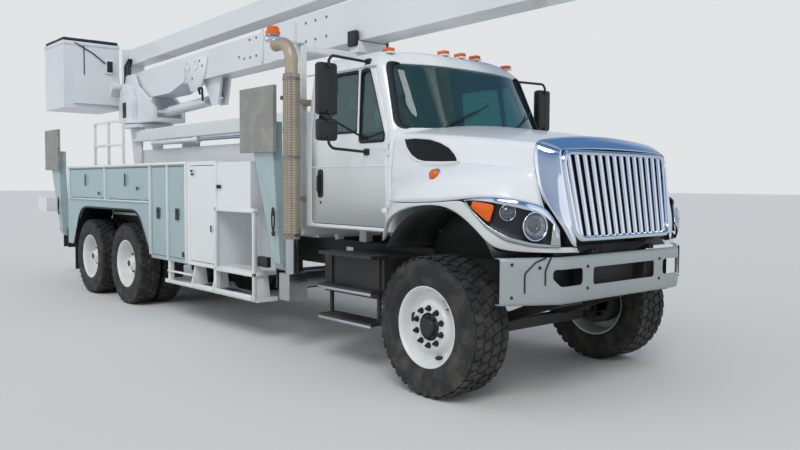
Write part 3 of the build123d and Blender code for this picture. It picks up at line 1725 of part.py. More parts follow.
turret_base_z = riser_top_z + turret_gap
turret_floor_z = turret_base_z + turret_plate
turret_tail_station = riser_station + 300
turret_nose_station = lift_foot_station - 110
turret_cheek_outline = (
    # station, height
    (riser_station + 330, turret_base_z),
    (riser_station + 330, boom_pivot_z - 20),
    (boom_pivot_station + 130, boom_pivot_z + 150),
    (boom_pivot_station - 130, boom_pivot_z + 150),
    (riser_station - 180, boom_pivot_z - 60),
    (lift_foot_station + 60, lift_foot_z + 170),
    (turret_nose_station, lift_foot_z + 60),
    (turret_nose_station, turret_base_z),
)

with BuildPart() as turret:
    with Locations((at(riser_station), 0, turret_base_z + turret_plate / 2)):
        Cylinder(turret_radius, turret_plate)
    box_between(
        (at(turret_tail_station), -turret_cheek_outer_y, turret_base_z),
        (at(turret_nose_station), turret_cheek_outer_y, turret_floor_z),
    )
    for side in (-1, 1):
        low, high = sorted((side * turret_cheek_inner_y, side * turret_cheek_outer_y))
        side_prism(side_points(*turret_cheek_outline), low, high)
    cross_pin(boom_pivot_station, boom_pivot_z, boom_pin_radius, -turret_cheek_outer_y, turret_cheek_outer_y)
    cross_pin(lift_foot_station, lift_foot_z, foot_pin_radius, -turret_cheek_outer_y, turret_cheek_outer_y)
export(turret, "turret")

boom_root_radius = (lower_root_top_z - lower_root_bottom_z) / 2 - 8
boom_root_half_width = lower_boom_half_width + 20
boom_bore_half_width = lower_boom_half_width + 30
boom_root_outline = (
    # station, height
    (boom_pivot_station, boom_pivot_z - boom_root_radius),
    (7750, 3000),
    (7000, 3010),
    (6500, lower_root_bottom_z + 60),
    (6500, lower_root_top_z),
    (boom_pivot_station, boom_pivot_z + boom_root_radius),
)
elbow_cheek_outline = (
    # station, height
    (elbow_station + 900, lower_step_bottom_z + 80),
    (elbow_station, lower_tip_bottom_z),
    (elbow_station - elbow_head_radius + 10, elbow_z - 120),
    (elbow_station - elbow_head_radius + 10, elbow_z),
    (elbow_station + 300, elbow_z),
    (elbow_station + 900, lower_tip_top_z - 20),
)
lift_ear_thickness = 34
lift_ear_outline = (
    # station, height
    (lift_eye_station + 330, lower_root_bottom_z + 60),
    (lift_eye_station + 90, lift_eye_z - 90),
    (lift_eye_station - 100, lift_eye_z - 90),
    (lift_eye_station - 200, lower_root_bottom_z + 60),
)

with BuildPart() as lower_boom:
    side_prism(
        side_points(
            (boom_pivot_station, lower_root_bottom_z),
            (boom_step_station, lower_step_bottom_z),
            (boom_step_station, lower_step_top_z),
            (boom_pivot_station, lower_root_top_z),
        ),
        -lower_boom_half_width,
        lower_boom_half_width,
    )
    side_prism(
        side_points(
            (sleeve_start_station, lower_step_bottom_z - sleeve_drop),
            (elbow_station, lower_tip_bottom_z),
            (elbow_station, lower_tip_top_z),
            (sleeve_start_station, lower_step_top_z + sleeve_step),
        ),
        -lower_boom_half_width - sleeve_side,
        lower_boom_half_width + sleeve_side,
    )
    root_ys = (-boom_root_half_width, boom_root_half_width)
    cross_pin(boom_pivot_station, boom_pivot_z, boom_root_radius, *root_ys)
    side_prism(side_points(*boom_root_outline), *root_ys)
    cross_pin(
        boom_pivot_station,
        boom_pivot_z,
        boom_pin_radius + pin_clearance,
        -boom_bore_half_width,
        boom_bore_half_width,
        Mode.SUBTRACT,
    )
    for side in (-1, 1):
        low, high = sorted((side * elbow_cheek_inner_y, side * elbow_cheek_outer_y))
        side_prism(side_points(*elbow_cheek_outline), low, high)
        cross_pin(elbow_station, elbow_z, elbow_head_radius, low, high)
        ear = sorted(side * (eye_half_width + ear_gap + depth) for depth in (0, lift_ear_thickness))
        side_prism(side_points(*lift_ear_outline), *ear)
    cross_pin(elbow_station, elbow_z, boom_pin_radius, -elbow_cheek_outer_y, elbow_cheek_outer_y)
export(lower_boom, "lower_boom")

cylinder_pair("lift", (lift_foot_station, lift_foot_z), (lift_eye_station, lift_eye_z))

with BuildPart() as upper_boom:
    side_prism(
        side_points(
            (upper_tip_station, upper_tip_bottom_z),
            (elbow_station, upper_root_bottom_z),
            (elbow_station, upper_root_top_z),
            (upper_tip_station, upper_tip_top_z),
        ),
        -upper_boom_half_width,
        upper_boom_half_width,
    )
    upper_root_radius = (upper_root_top_z - upper_root_bottom_z) / 2
    cross_pin(elbow_station, elbow_z, upper_root_radius, -upper_boom_half_width, upper_boom_half_width)
    cross_pin(
        elbow_station,
        elbow_z,
        boom_pin_radius + pin_clearance,
        -upper_boom_half_width - 1,
        upper_boom_half_width + 1,
        Mode.SUBTRACT,
    )
    box_between(
        (at(tip_post_station + tip_post_length), -tip_post_outer_y, tip_post_bottom_z),
        (at(tip_post_station), upper_boom_half_width, upper_tip_top_z),
    )
    box_between(
        (at(tip_post_station) - 2, -upper_boom_half_width, upper_tip_bottom_z),
        (at(upper_tip_station), upper_boom_half_width, upper_tip_top_z),
    )
    cross_pin(
        platform_pivot_station,
        platform_pivot_z,
        platform_pin_radius,
        -bucket_inner_y - bracket_gap - bracket_width,
        -tip_post_outer_y + 1,
    )
export(upper_boom, "upper_boom")

# Bucket

bracket_zs = (2930, 3380)
bracket_plate = 40
bracket_side_inset = 150
bracket_arm_inset = 20
bracket_arm_outline = (
    # station, height
    (bucket_front_station - 1, platform_pivot_z + 120),
    (platform_pivot_station, platform_pivot_z + 50),
    (platform_pivot_station, platform_pivot_z - 50),
    (bucket_front_station - 1, platform_pivot_z - 220),
)

with BuildPart() as platform_bracket:
    bracket_y = -bucket_inner_y - bracket_gap
    cross_pin(
        platform_pivot_station, platform_pivot_z, platform_boss_radius, bracket_y - bracket_width, bracket_y
    )
    side_prism(side_points(*bracket_arm_outline), bracket_y - bracket_width, bracket_y - bracket_arm_inset)
    box_between(
        (at(bucket_front_station), -bucket_inner_y - bucket_width + bracket_side_inset, bracket_zs[0]),
        (at(bucket_front_station) + bracket_plate, bracket_y, bracket_zs[1]),
    )
    cross_pin(
        platform_pivot_station,
        platform_pivot_z,
        platform_pin_radius + pin_clearance,
        bracket_y - bracket_width - 1,
        bracket_y + 1,
        Mode.SUBTRACT,
    )
export(platform_bracket, "platform_bracket")

bucket_front_x = at(bucket_front_station)
bucket_rear_x = bucket_front_x - bucket_length
bucket_outer_y = bucket_inner_y + bucket_width

with BuildPart() as bucket:
    box_between(
        (bucket_rear_x, -bucket_outer_y, bucket_bottom_z),
        (bucket_front_x, -bucket_inner_y, bucket_top_z),
    )
    box_between(
        (bucket_rear_x + bucket_wall, -bucket_outer_y + bucket_wall, bucket_bottom_z + bucket_wall),
        (bucket_front_x - bucket_wall, -bucket_inner_y - bucket_wall, bucket_top_z + 1),
        Mode.SUBTRACT,
    )
export(bucket, "bucket")

with BuildPart() as bucket_cover:
    box_between(
        (bucket_rear_x - cover_overlap, -bucket_outer_y - cover_overlap, bucket_top_z),
        (bucket_front_x + cover_overlap, -bucket_inner_y + cover_overlap, bucket_top_z + cover_height),
    )
export(bucket_cover, "bucket_cover")
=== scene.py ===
"""Looks of the aerial bucket truck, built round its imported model.

Metres, +X forward, +Y the truck's left, +Z up. Lengthwise places are given
from the front axle, forwards positive, and moved by AXLE_X.
"""
import json
from math import cos, pi, radians, sin

import bmesh
import bpy
from mathutils import Matrix, Vector, noise
from mathutils.bvhtree import BVHTree


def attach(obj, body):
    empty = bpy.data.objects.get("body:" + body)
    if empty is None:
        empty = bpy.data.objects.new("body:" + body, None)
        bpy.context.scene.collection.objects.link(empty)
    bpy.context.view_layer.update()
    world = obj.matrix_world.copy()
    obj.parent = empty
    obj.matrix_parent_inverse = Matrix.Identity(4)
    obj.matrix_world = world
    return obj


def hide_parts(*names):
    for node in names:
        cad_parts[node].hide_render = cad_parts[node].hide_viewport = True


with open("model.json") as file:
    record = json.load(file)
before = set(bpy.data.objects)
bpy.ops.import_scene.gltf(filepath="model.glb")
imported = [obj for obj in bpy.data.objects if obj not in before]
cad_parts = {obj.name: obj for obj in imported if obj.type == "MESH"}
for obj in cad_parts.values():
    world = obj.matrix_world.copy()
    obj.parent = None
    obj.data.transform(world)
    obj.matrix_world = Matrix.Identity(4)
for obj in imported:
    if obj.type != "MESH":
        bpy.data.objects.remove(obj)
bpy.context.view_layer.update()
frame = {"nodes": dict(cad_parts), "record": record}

AXLE_X = 4.19
RIGHT, LEFT = -1, 1
SIDES = ((RIGHT, "right"), (LEFT, "left"))


def x_of(forward):
    """X of a place given forwards from the front axle."""
    return AXLE_X + forward


def sided(point, side=LEFT):
    """Place of (forward, outward, up) on one side of the truck."""
    return Vector((x_of(point[0]), side * point[1], point[2]))


def from_axle(outline):
    """Side outline, given forwards from the axle, in X and Z."""
    return [Vector((x_of(forward), up)) for forward, up in outline]


# Shader node groups


def linear(red, green, blue):
    """Linear colour of an 8-bit screen colour."""
    parts = []
    for value in (red, green, blue):
        share = value / 255
        parts.append(share / 12.92 if share <= 0.04045 else ((share + 0.055) / 1.055) ** 2.4)
    return (*parts, 1)


class Graph:
    """A node tree with short calls for adding and joining nodes."""

    def __init__(self, tree):
        self.tree = tree

    def add(self, kind, values=(), **settings):
        node = self.tree.nodes.new(kind)
        for key, value in settings.items():
            setattr(node, key, value)
        for key, value in dict(values).items():
            self.set(node, key, value)
        return node

    def set(self, node, key, value):
        socket = node.inputs[key]
        if isinstance(value, bpy.types.NodeSocket):
            self.tree.links.new(value, socket)
        else:
            socket.default_value = value

    def math(self, operation, *values, clamp=False):
        node = self.add("ShaderNodeMath", operation=operation, use_clamp=clamp)
        for index, value in enumerate(values):
            self.set(node, index, value)
        return node.outputs[0]

    def mix(self, share, first, second):
        return self.add("ShaderNodeMix", {0: share, 6: first, 7: second}, data_type="RGBA").outputs[2]

    def sum_of(self, *products, clamp=False):
        """Sum of two products, each given as its two factors."""
        return self.math("ADD", *(self.math("MULTIPLY", *pair) for pair in products), clamp=clamp)

    def ramp(self, value, low, high):
        return self.add("ShaderNodeMapRange", {0: value, 1: low, 2: high}).outputs[0]


def group(name, inputs, outputs):
    """Empty shader group with named sockets, and its graph, input node and output node."""
    tree = bpy.data.node_groups.new(name, "ShaderNodeTree")
    for label, kind in inputs:
        tree.interface.new_socket(name=label, in_out="INPUT", socket_type=kind)
    for label, kind in outputs:
        tree.interface.new_socket(name=label, in_out="OUTPUT", socket_type=kind)
    graph = Graph(tree)
    return graph, graph.add("NodeGroupInput").outputs, graph.add("NodeGroupOutput")


FLOAT, COLOUR = "NodeSocketFloat", "NodeSocketColor"
SPECKLE_FINENESS = 14.0
BLOTCHES, SPECKLES = (0.48, 0.78), (0.6, 0.76)
DUST_TOP, DUST_FULL = 1.5, 0.35


def weathering_group():
    """Blotches, speckle and road dust that thickens towards the ground."""
    graph, given, out = group(
        "weathering",
        (("Colour", COLOUR), ("Dirt", COLOUR), ("Grime", FLOAT), ("Dust", FLOAT), ("Scale", FLOAT),
         ("Rough", FLOAT)),
        (("Colour", COLOUR), ("Rough", FLOAT), ("Height", FLOAT)),
    )
    place = graph.add("ShaderNodeTexCoord").outputs["Object"]

    def noise_at(scale, detail):
        values = {"Vector": place, "Scale": scale, "Detail": detail}
        return graph.add("ShaderNodeTexNoise", values).outputs[0]

    broad = noise_at(given["Scale"], 6.0)
    small = noise_at(graph.math("MULTIPLY", given["Scale"], SPECKLE_FINENESS), 4.0)
    height = graph.add("ShaderNodeSeparateXYZ", {0: place}).outputs[2]
    dusty = graph.math("MULTIPLY", graph.ramp(height, DUST_TOP, DUST_FULL), graph.ramp(broad, 0.3, 0.7))
    worn = graph.sum_of((graph.ramp(broad, *BLOTCHES), 0.6), (graph.ramp(small, *SPECKLES), 0.5))
    mask = graph.sum_of((worn, given["Grime"]), (dusty, given["Dust"]), clamp=True)
    graph.set(out, "Colour", graph.mix(mask, given["Colour"], given["Dirt"]))
    rougher = graph.math("ADD", given["Rough"], graph.math("MULTIPLY", mask, 0.35), clamp=True)
    graph.set(out, "Rough", rougher)
    graph.set(out, "Height", graph.sum_of((small, 0.5), (broad, 0.5)))
    return graph.tree


def ripple_group():
    """Fine raised pattern: crossed threads, grain or orange peel, by its scale."""
    graph, given, out = group("weave", (("Scale", FLOAT),), (("Height", FLOAT),))
    place = graph.add("ShaderNodeTexCoord").outputs["Object"]
    values = {"Vector": place, "Scale": given["Scale"]}
    waves = [graph.add("ShaderNodeTexWave", values, bands_direction=d).outputs[1] for d in ("X", "Z")]
    graph.set(out, "Height", graph.math("MULTIPLY", *waves))
    return graph.tree


WEATHERING = weathering_group()
WEAVE = ripple_group()
COAT_ROUGHNESS, GLASS_INDEX = 0.08, 1.45


def finish(
    name, colour, rough, *, metallic=0.0, coat=0.0, dirt=(70, 66, 58), grime=0.1, dust=0.15, scale=1.2,
    bump=0.05, weave=0.0, depth=0.002,
):
    """Painted, plated, moulded or woven material with weathering from the shared group."""
    material = bpy.data.materials.new(name)
    material.use_nodes = True
    graph = Graph(material.node_tree)
    shader = graph.tree.nodes["Principled BSDF"]
    values = {"Colour": linear(*colour), "Dirt": linear(*dirt), "Grime": grime, "Dust": dust,
              "Scale": scale, "Rough": rough}
    worn = graph.add("ShaderNodeGroup", values, node_tree=WEATHERING)
    graph.set(shader, "Base Color", worn.outputs["Colour"])
    graph.set(shader, "Roughness", worn.outputs["Rough"])
    for key, value in (("Metallic", metallic), ("Coat Weight", coat), ("Coat Roughness", COAT_ROUGHNESS)):
        graph.set(shader, key, value)
    height = worn.outputs["Height"]
    if weave:
        height = graph.add("ShaderNodeGroup", {"Scale": weave}, node_tree=WEAVE).outputs["Height"]
    relief = graph.add("ShaderNodeBump", {"Strength": bump, "Distance": depth, "Height": height})
    graph.set(shader, "Normal", relief.outputs[0])
    return material


WHITE = finish("white_enamel", (226, 230, 232), 0.28, coat=0.5, dirt=(170, 168, 160), grime=0.1, dust=0.25)
# The body's white paint darkened to the cool blue-grey of its shaded side: painted shade, used on the side
# body, bin doors and arch corners.
SHADED_BODY = finish("shaded_body_enamel", (158, 182, 187), 0.38, coat=0.25, dirt=(120, 124, 120), grime=0.16, dust=0.3)
SKIRT = finish("fender_skirt", (208, 214, 214), 0.45, coat=0.1, dirt=(150, 146, 136), grime=0.15, dust=0.3)
BOOM = finish("boom_enamel", (222, 227, 230), 0.32, coat=0.35, dirt=(150, 150, 146), grime=0.14, dust=0.1)
RIM = finish("wheel_enamel", (224, 228, 228), 0.36, coat=0.2, dirt=(150, 142, 126), grime=0.16, dust=0.25,
             scale=4)
BLACK = finish("chassis_black", (26, 27, 29), 0.5, dirt=(88, 82, 72), grime=0.25, dust=0.4, scale=3)
CASTING = finish("engine_casting", (52, 54, 57), 0.62, dirt=(92, 80, 64), grime=0.5, scale=5, bump=0.3)
CHROME = finish("chrome_plate", (214, 220, 228), 0.07, metallic=1.0, dirt=(150, 150, 150), grime=0.05,
                dust=0.05)
BRUSHED = finish("polished_aluminium", (190, 193, 196), 0.24, metallic=1.0, dirt=(120, 118, 112), grime=0.2,
                 scale=3)
BUMPER = finish("bumper_silver", (158, 166, 167), 0.42, metallic=0.25, dirt=(120, 120, 116), grime=0.16,
                scale=2)
TREAD = finish("tyre_rubber", (30, 30, 32), 0.78, dirt=(112, 108, 100), grime=0.45, dust=0.2, scale=9,
               bump=0.25)
PLASTIC = finish("moulded_black", (20, 21, 23), 0.45, dirt=(80, 78, 74), grime=0.12, scale=6, bump=0.15)
GASKET = finish("rubber_seal", (16, 16, 17), 0.6, dirt=(60, 58, 54), grime=0.15, scale=8)
TRIM = finish("cab_vinyl", (82, 86, 90), 0.6, dirt=(50, 50, 50), grime=0.15, scale=5, bump=0.25)
SEAT = finish("seat_cloth", (74, 80, 86), 0.85, dirt=(46, 48, 50), grime=0.2, scale=6, weave=220, bump=0.4)
COVER = finish("cover_cloth", (24, 34, 62), 0.72, dirt=(60, 66, 82), grime=0.25, scale=5, weave=260,
               bump=0.35)
PAD = finish("pad_steel", (138, 140, 136), 0.6, dirt=(186, 186, 176), grime=0.75, dust=0.2, scale=7,
             bump=0.25)
# The legs' white paint darkened to the cool blue-grey of its shaded side: painted shade.
SHADED_LEG = finish("shaded_leg_enamel", (162, 184, 188), 0.42, coat=0.2, dirt=(112, 108, 96), grime=0.3, dust=0.3, scale=3)
FIBRE = finish("bucket_shell", (216, 222, 226), 0.3, coat=0.4, dirt=(150, 152, 150), grime=0.14, scale=3)
ROD = finish("hard_chrome", (198, 202, 206), 0.12, metallic=1.0, dirt=(120, 118, 110), grime=0.1, scale=4)
STACK = finish("tanned_steel", (178, 164, 142), 0.45, metallic=0.35, dirt=(112, 92, 70), grime=0.45, scale=5,
               bump=0.1)
SHIELD = finish("perforated_shield", (176, 164, 146), 0.5, metallic=0.35, dirt=(120, 100, 78), grime=0.3,
                scale=6, weave=13, bump=1.0, depth=0.012)
STEEL = finish("bolt_steel", (138, 140, 142), 0.35, metallic=0.9, dirt=(90, 80, 66), grime=0.3, scale=20)
INTAKE = finish("intake_mesh", (14, 15, 16), 0.6, dirt=(50, 48, 44), grime=0.2, scale=10, weave=150, bump=0.9,
                depth=0.006)
HOSE = finish("hose_rubber", (30, 34, 42), 0.6, dirt=(70, 70, 66), grime=0.25, scale=12, bump=0.2)


def clear(name, colour, rough, weight):
    """Glass or lens with a plain transmission."""
    material = finish(name, colour, rough, grime=0.03, dust=0.05, dirt=(150, 150, 140), bump=0.01)
    shader = material.node_tree.nodes["Principled BSDF"]
    shader.inputs["Transmission Weight"].default_value = weight
    shader.inputs["IOR"].default_value = GLASS_INDEX
    return material


GLASS = clear("tinted_glass", (112, 164, 162), 0.03, 0.9)
LENS = clear("clear_lens", (236, 242, 246), 0.03, 0.95)
AMBER = clear("amber_lens", (255, 120, 16), 0.15, 0.35)
RED = clear("red_lens", (190, 20, 16), 0.2, 0.3)

USUAL_SLOTS = {
    paint.name: slot
    for slot, paints in (
        ("white_paint", (WHITE, SKIRT)), ("boom_white", (BOOM,)), ("body_paint", (SHADED_BODY,)),
        ("rim_white", (RIM,)), ("chrome", (CHROME, BRUSHED)), ("rod_chrome", (ROD,)),
        ("bumper_grey", (BUMPER,)), ("mirror_black", (PLASTIC, INTAKE, GASKET, HOSE)),
        ("chassis_black", (BLACK, CASTING)),
        ("tyre_rubber", (TREAD,)), ("glass", (GLASS, LENS, AMBER, RED)), ("cab_trim", (TRIM, SEAT)),
        ("stack_steel", (SHIELD,)), ("bucket_fibreglass", (FIBRE,)), ("cover_vinyl", (COVER,)),
    )
    for paint in paints
}


# Mesh helpers

MOST_OF_RUN = 0.49  # share of a straight run that a bend at its end may take
MOST_OF_BOX = 0.45  # share of a box's thinnest side that its rounding may take
STRAIGHT = 0.01  # turns below this angle get no bend
SHARP_FROM, NEVER_SHARP = 35, 180


def round_edges(bm, edges, width, segments=2):
    """Bevel with every setting spelt out."""
    bmesh.ops.bevel(
        bm, geom=list(edges), offset=width, offset_type="OFFSET", segments=segments, profile=0.5,
        affect="EDGES", material=-1, clamp_overlap=True,
    )


def add_box(bm, low, high, width=0.0, segments=2):
    """Box between two corners, with rounded edges if a width is given."""
    low, high = Vector(low), Vector(high)
    size = Vector([abs(a) for a in high - low])
    made = bmesh.ops.create_cube(bm, size=1.0)["verts"]
    bmesh.ops.scale(bm, vec=size, verts=made)
    bmesh.ops.translate(bm, vec=(low + high) / 2, verts=made)
    if width:
        round_edges(bm, {e for v in made for e in v.link_edges}, min(width, min(size) * MOST_OF_BOX), segments)


def add_boxes(bm, rows, side=LEFT):
    """Boxes from rows of low corner and high corner, then edge rounding and its steps where given."""
    for low, high, *rounding in rows:
        add_box(bm, sided(low, side), sided(high, side), *rounding)


def add_rod(bm, start, end, radius, end_radius=None, segments=20, width=0.0):
    """Round bar or cone from one point to another."""
    start, end = Vector(start), Vector(end)
    along = end - start
    turn = along.to_track_quat("Z", "Y").to_matrix().to_4x4()
    made = bmesh.ops.create_cone(
        bm, cap_ends=True, cap_tris=False, segments=segments, radius1=radius,
        radius2=radius if end_radius is None else end_radius, depth=along.length,
        matrix=Matrix.Translation((start + end) / 2) @ turn,
    )["verts"]
    if width:
        ends = {f for v in made for f in v.link_faces if len(f.verts) > 4}
        round_edges(bm, {e for f in ends for e in f.edges}, width)


AXIS_MAPS = {
    # flat outline's first and second number, and the depth, as X, Y and Z
    "x": lambda a, b, d: (d, a, b),
    "y": lambda a, b, d: (a, d, b),
    "z": lambda a, b, d: (a, b, d),
}


def add_plate(bm, outline, axis, low, high, width=0.0, segments=2):
    """Flat outline made solid along an axis, from low to high."""
    place = AXIS_MAPS[axis]
    corners = [bm.verts.new(place(a, b, low)) for a, b in outline]
    face = bm.faces.new(corners)
    grown = bmesh.ops.extrude_face_region(bm, geom=[face])["geom"]
    moved = [v for v in grown if isinstance(v, bmesh.types.BMVert)]
    bmesh.ops.translate(bm, vec=Vector(place(0, 0, high - low)), verts=moved)
    everything = corners + moved
    faces = list({f for v in everything for f in v.link_faces})
    bmesh.ops.recalc_face_normals(bm, faces=faces)
    if width:
        round_edges(bm, {e for v in everything for e in v.link_edges}, width, segments)


def add_lathe(bm, profile, centre, axis, steps=64, closed=False):
    """Profile of (distance along the axis, radius) pairs spun all the way round."""
    centre, axis = Vector(centre), Vector(axis).normalized()
    across = axis.orthogonal().normalized()
    points = [bm.verts.new(centre + axis * along + across * radius) for along, radius in profile]
    pairs = list(zip(points, points[1:])) + ([(points[-1], points[0])] if closed else [])
    edges = [bm.edges.new(pair) for pair in pairs]
    bmesh.ops.spin(
        bm, geom=points + edges, cent=centre, axis=axis, dvec=(0, 0, 0), angle=2 * pi, steps=steps,
        use_merge=True, use_normal_flip=False, use_duplicate=False,
    )


def add_pipe(bm, points, radius, bend=0.0, segments=12, steps=6):
    """Round tube along straight runs joined by bends of a given radius."""
    points = [Vector(p) for p in points]
    path = [(points[0], (points[1] - points[0]).normalized())]
    for before, corner, after in zip(points, points[1:], points[2:]):
        come, go = (corner - before).normalized(), (after - corner).normalized()
        angle = come.angle(go)
        if angle < STRAIGHT:
            continue
        shorter = min((corner - before).length, (after - corner).length)
        reach = max(min(bend * abs(sin(angle / 2) / cos(angle / 2)), shorter * MOST_OF_RUN), radius * 0.6)
        for step in range(steps + 1):
            share = step / steps
            first = (corner - come * reach).lerp(corner, share)
            second = corner.lerp(corner + go * reach, share)
            path.append((first.lerp(second, share), come.lerp(go, share).normalized()))
    path.append((points[-1], (points[-1] - points[-2]).normalized()))
    side = path[0][1].orthogonal().normalized()
    loops = []
    for centre, along in path:
        side = (side - along * side.dot(along)).normalized()
        turn = Matrix((side, along.cross(side), along)).transposed().to_4x4()
        made = bmesh.ops.create_circle(
            bm, cap_ends=False, segments=segments, radius=radius, matrix=Matrix.Translation(centre) @ turn
        )["verts"]
        loops.append(list({e for v in made for e in v.link_edges}))
    for first, second in zip(loops, loops[1:]):
        bmesh.ops.bridge_loops(bm, edges=first + second)
    for loop in (loops[0], loops[-1]):
        bmesh.ops.holes_fill(bm, edges=loop, sides=segments)


def add_bolts(bm, places, axis, radius=0.011, height=0.009, segments=6):
    """Hexagon heads at places, standing along an axis."""
    axis = Vector(axis)
    for place in places:
        place = Vector(place)
        add_rod(bm, place - axis * 0.002, place + axis * height, radius, radius * 0.94, segments=segments)


def shaded(bm, name, smooth_angle=SHARP_FROM):
    """Mesh with smooth faces and with sharp edges from an angle on."""
    mesh = bpy.data.meshes.new(name)
    bm.to_mesh(mesh)
    bm.free()
    mesh.shade_smooth()
    mesh.set_sharp_from_angle(angle=radians(smooth_angle))
    return mesh


def surface(bm, smooth_angle=SHARP_FROM):
    """Clean normals and shading ready for a mesh."""
    bmesh.ops.recalc_face_normals(bm, faces=bm.faces)
    return shaded(bm, "shape", smooth_angle)


def piece(name, bm, body, material, slot=None, replaces=(), levels=0, smooth_angle=SHARP_FROM):
    """Finish one piece: its object, material, body and what it stands for."""
    mesh = surface(bm, NEVER_SHARP if levels else smooth_angle) if isinstance(bm, bmesh.types.BMesh) else bm
    obj = bpy.data.objects.new(name, mesh)
    bpy.context.scene.collection.objects.link(obj)
    mesh.materials.append(material)
    if levels:
        rounding = obj.modifiers.new("rounding", "SUBSURF")
        rounding.levels = rounding.render_levels = levels
    slot = slot or USUAL_SLOTS[material.name]
    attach(obj, body)
    if replaces:
        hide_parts(*replaces)
    return obj


BODY_OF = {node: body for body, nodes in frame["record"]["behaviour"]["bodies"].items() for node in nodes}
SLOT_OF = {row["node"]: row["material_slot"] for row in frame["record"]["subparts"]}

CABINETS_FROM, STEP_FRAME_TOP = -4.262, 0.7
SIDE_CUTS = (((x_of(CABINETS_FROM), 0, 0), (1, 0, 0)), ((0, 0, STEP_FRAME_TOP), (0, 0, 1)))
UNDISSOLVED = ("deck", "pedestal", "turret")  # nodes that keep their flat faces apart
STACK_PLACE = Vector((x_of(-2.14), -1.15, 0))
SHIELD_LOW, SHIELD_HIGH, SHIELD_NARROWED, SHIELD_WIDE = 1.1, 2.7, 0.075, 0.103
MERGED, FLAT_WITHIN, ON_PLANE, ROUNDED_FROM = 0.00002, radians(1.0), 1e-6, 32


def slice_mesh(bm, geometry, place, normal):
    """Cut edges into part of a mesh along a plane, and drop nothing."""
    bmesh.ops.bisect_plane(
        bm, geom=geometry, dist=ON_PLANE, plane_co=place, plane_no=normal, use_snap_center=False,
        clear_outer=False, clear_inner=False,
    )


def softened(node, material, width):
    """Copy of a CAD node with its seams merged and its sharp edges rounded."""
    bm = bmesh.new()
    bm.from_mesh(frame["nodes"][node].data)
    bmesh.ops.remove_doubles(bm, verts=bm.verts, dist=MERGED)
    if node not in UNDISSOLVED:
        bmesh.ops.dissolve_limit(
            bm, angle_limit=FLAT_WITHIN, use_dissolve_boundaries=False, verts=bm.verts, edges=bm.edges,
            delimit=set(),
        )
    if node.startswith("side_body"):
        for place, normal in SIDE_CUTS:
            slice_mesh(bm, [*bm.verts, *bm.edges, *bm.faces], place, normal)
    if node == "exhaust_stack":
        for vert in bm.verts:
            out = (vert.co - STACK_PLACE).to_2d()
            if SHIELD_LOW < vert.co.z < SHIELD_HIGH and SHIELD_NARROWED < out.length < SHIELD_WIDE:
                out.length = SHIELD_NARROWED
                vert.co.xy = STACK_PLACE.to_2d() + out
    mesh = shaded(bm, f"{node}_shape")
    obj = piece(f"{node}_body", mesh, BODY_OF[node], material, SLOT_OF[node], (node,))
    rounding = obj.modifiers.new("edges", "BEVEL")
    rounding.width = width
    rounding.segments = 2
    rounding.limit_method = "ANGLE"
    rounding.angle_limit = radians(ROUNDED_FROM)
    rounding.harden_normals = True
    rounding.use_clamp_overlap = True
    return obj


SOFTENED = (
    # paint, edge rounding, nodes
    (BLACK, 0.004, "chassis_frame"), (BLACK, 0.012, "axles"), (CASTING, 0.02, "engine"),
    # side_body in the shaded body colour: painted shade
    (BLACK, 0.008, "side_tanks"), (SHADED_BODY, 0.006, "side_body_right side_body_left"), (WHITE, 0.006, "deck"),
    (BOOM, 0.008, "pedestal"), (BOOM, 0.018, "elevator_arm"), (BOOM, 0.016, "elevator_link"),
    (BOOM, 0.006, "riser"), (BOOM, 0.008, "turret"), (BOOM, 0.018, "lower_boom"), (BOOM, 0.02, "upper_boom"),
    (BOOM, 0.004, "elevator_barrel lift_barrel"), (ROD, 0.003, "elevator_rod lift_rod"),
    (BOOM, 0.006, "platform_bracket"), (FIBRE, 0.006, "bucket"), (BLACK, 0.006, "knuckle_right knuckle_left"),
    # bin and bay doors in the shaded body colour, painted shade; the cabinet door in plain white
    (SHADED_BODY, 0.004, "rear_bin_door_right middle_bin_door_right bay_door_right front_bay_door_right"),
    (WHITE, 0.004, "cabinet_door_right"), (SHADED_BODY, 0.004, "rear_bin_door_left middle_bin_door_left"),
    # outrigger legs in the shaded leg colour: painted shade
    (SHADED_LEG, 0.008, "outrigger_front_right outrigger_front_left outrigger_rear_right outrigger_rear_left"),
    (STACK, 0.003, "exhaust_stack"),
)
smoothed = {node: softened(node, paint, width) for paint, width, nodes in SOFTENED for node in nodes.split()}


def repaint(node, material, wanted):
    """Second paint on the faces of a piece whose middles pass a test."""
    mesh = smoothed[node].data
    mesh.materials.append(material)
    for face in mesh.polygons:
        if wanted(face.center):
            face.material_index = len(mesh.materials) - 1


PAD_OUT, PAD_BOTTOM = 1.195, 1.845
ARCH_REGION = {"rear": -8.3, "front": -5.2, "top": 1.32, "face": 1.19}
SHIELD_BOTTOM = 1.125


def in_arch(place):
    """Whether a face of the side body lies inside its wheel arch."""
    within = x_of(ARCH_REGION["rear"]) < place.x < x_of(ARCH_REGION["front"])
    return within and place.z < ARCH_REGION["top"] and abs(place.y) < ARCH_REGION["face"]


repaint("exhaust_stack", BRUSHED, lambda c: c.z < SHIELD_BOTTOM)
for _, side_name in SIDES:
    # Front cabinets and the step frame in plain white; the rest of the side body keeps the shaded body colour,
    # painted shade.
    repaint(f"side_body_{side_name}", WHITE, lambda c: c.x > x_of(CABINETS_FROM) or c.z < STEP_FRAME_TOP)
    repaint(f"side_body_{side_name}", PLASTIC, in_arch)
    for row in ("front", "rear"):
        repaint(f"outrigger_{row}_{side_name}", PAD, lambda c: abs(c.y) > PAD_OUT and c.z > PAD_BOTTOM)

for node in ("door_glass_right", "door_glass_left"):
    frame["nodes"][node].data.materials.clear()
    frame["nodes"][node].data.materials.append(GLASS)


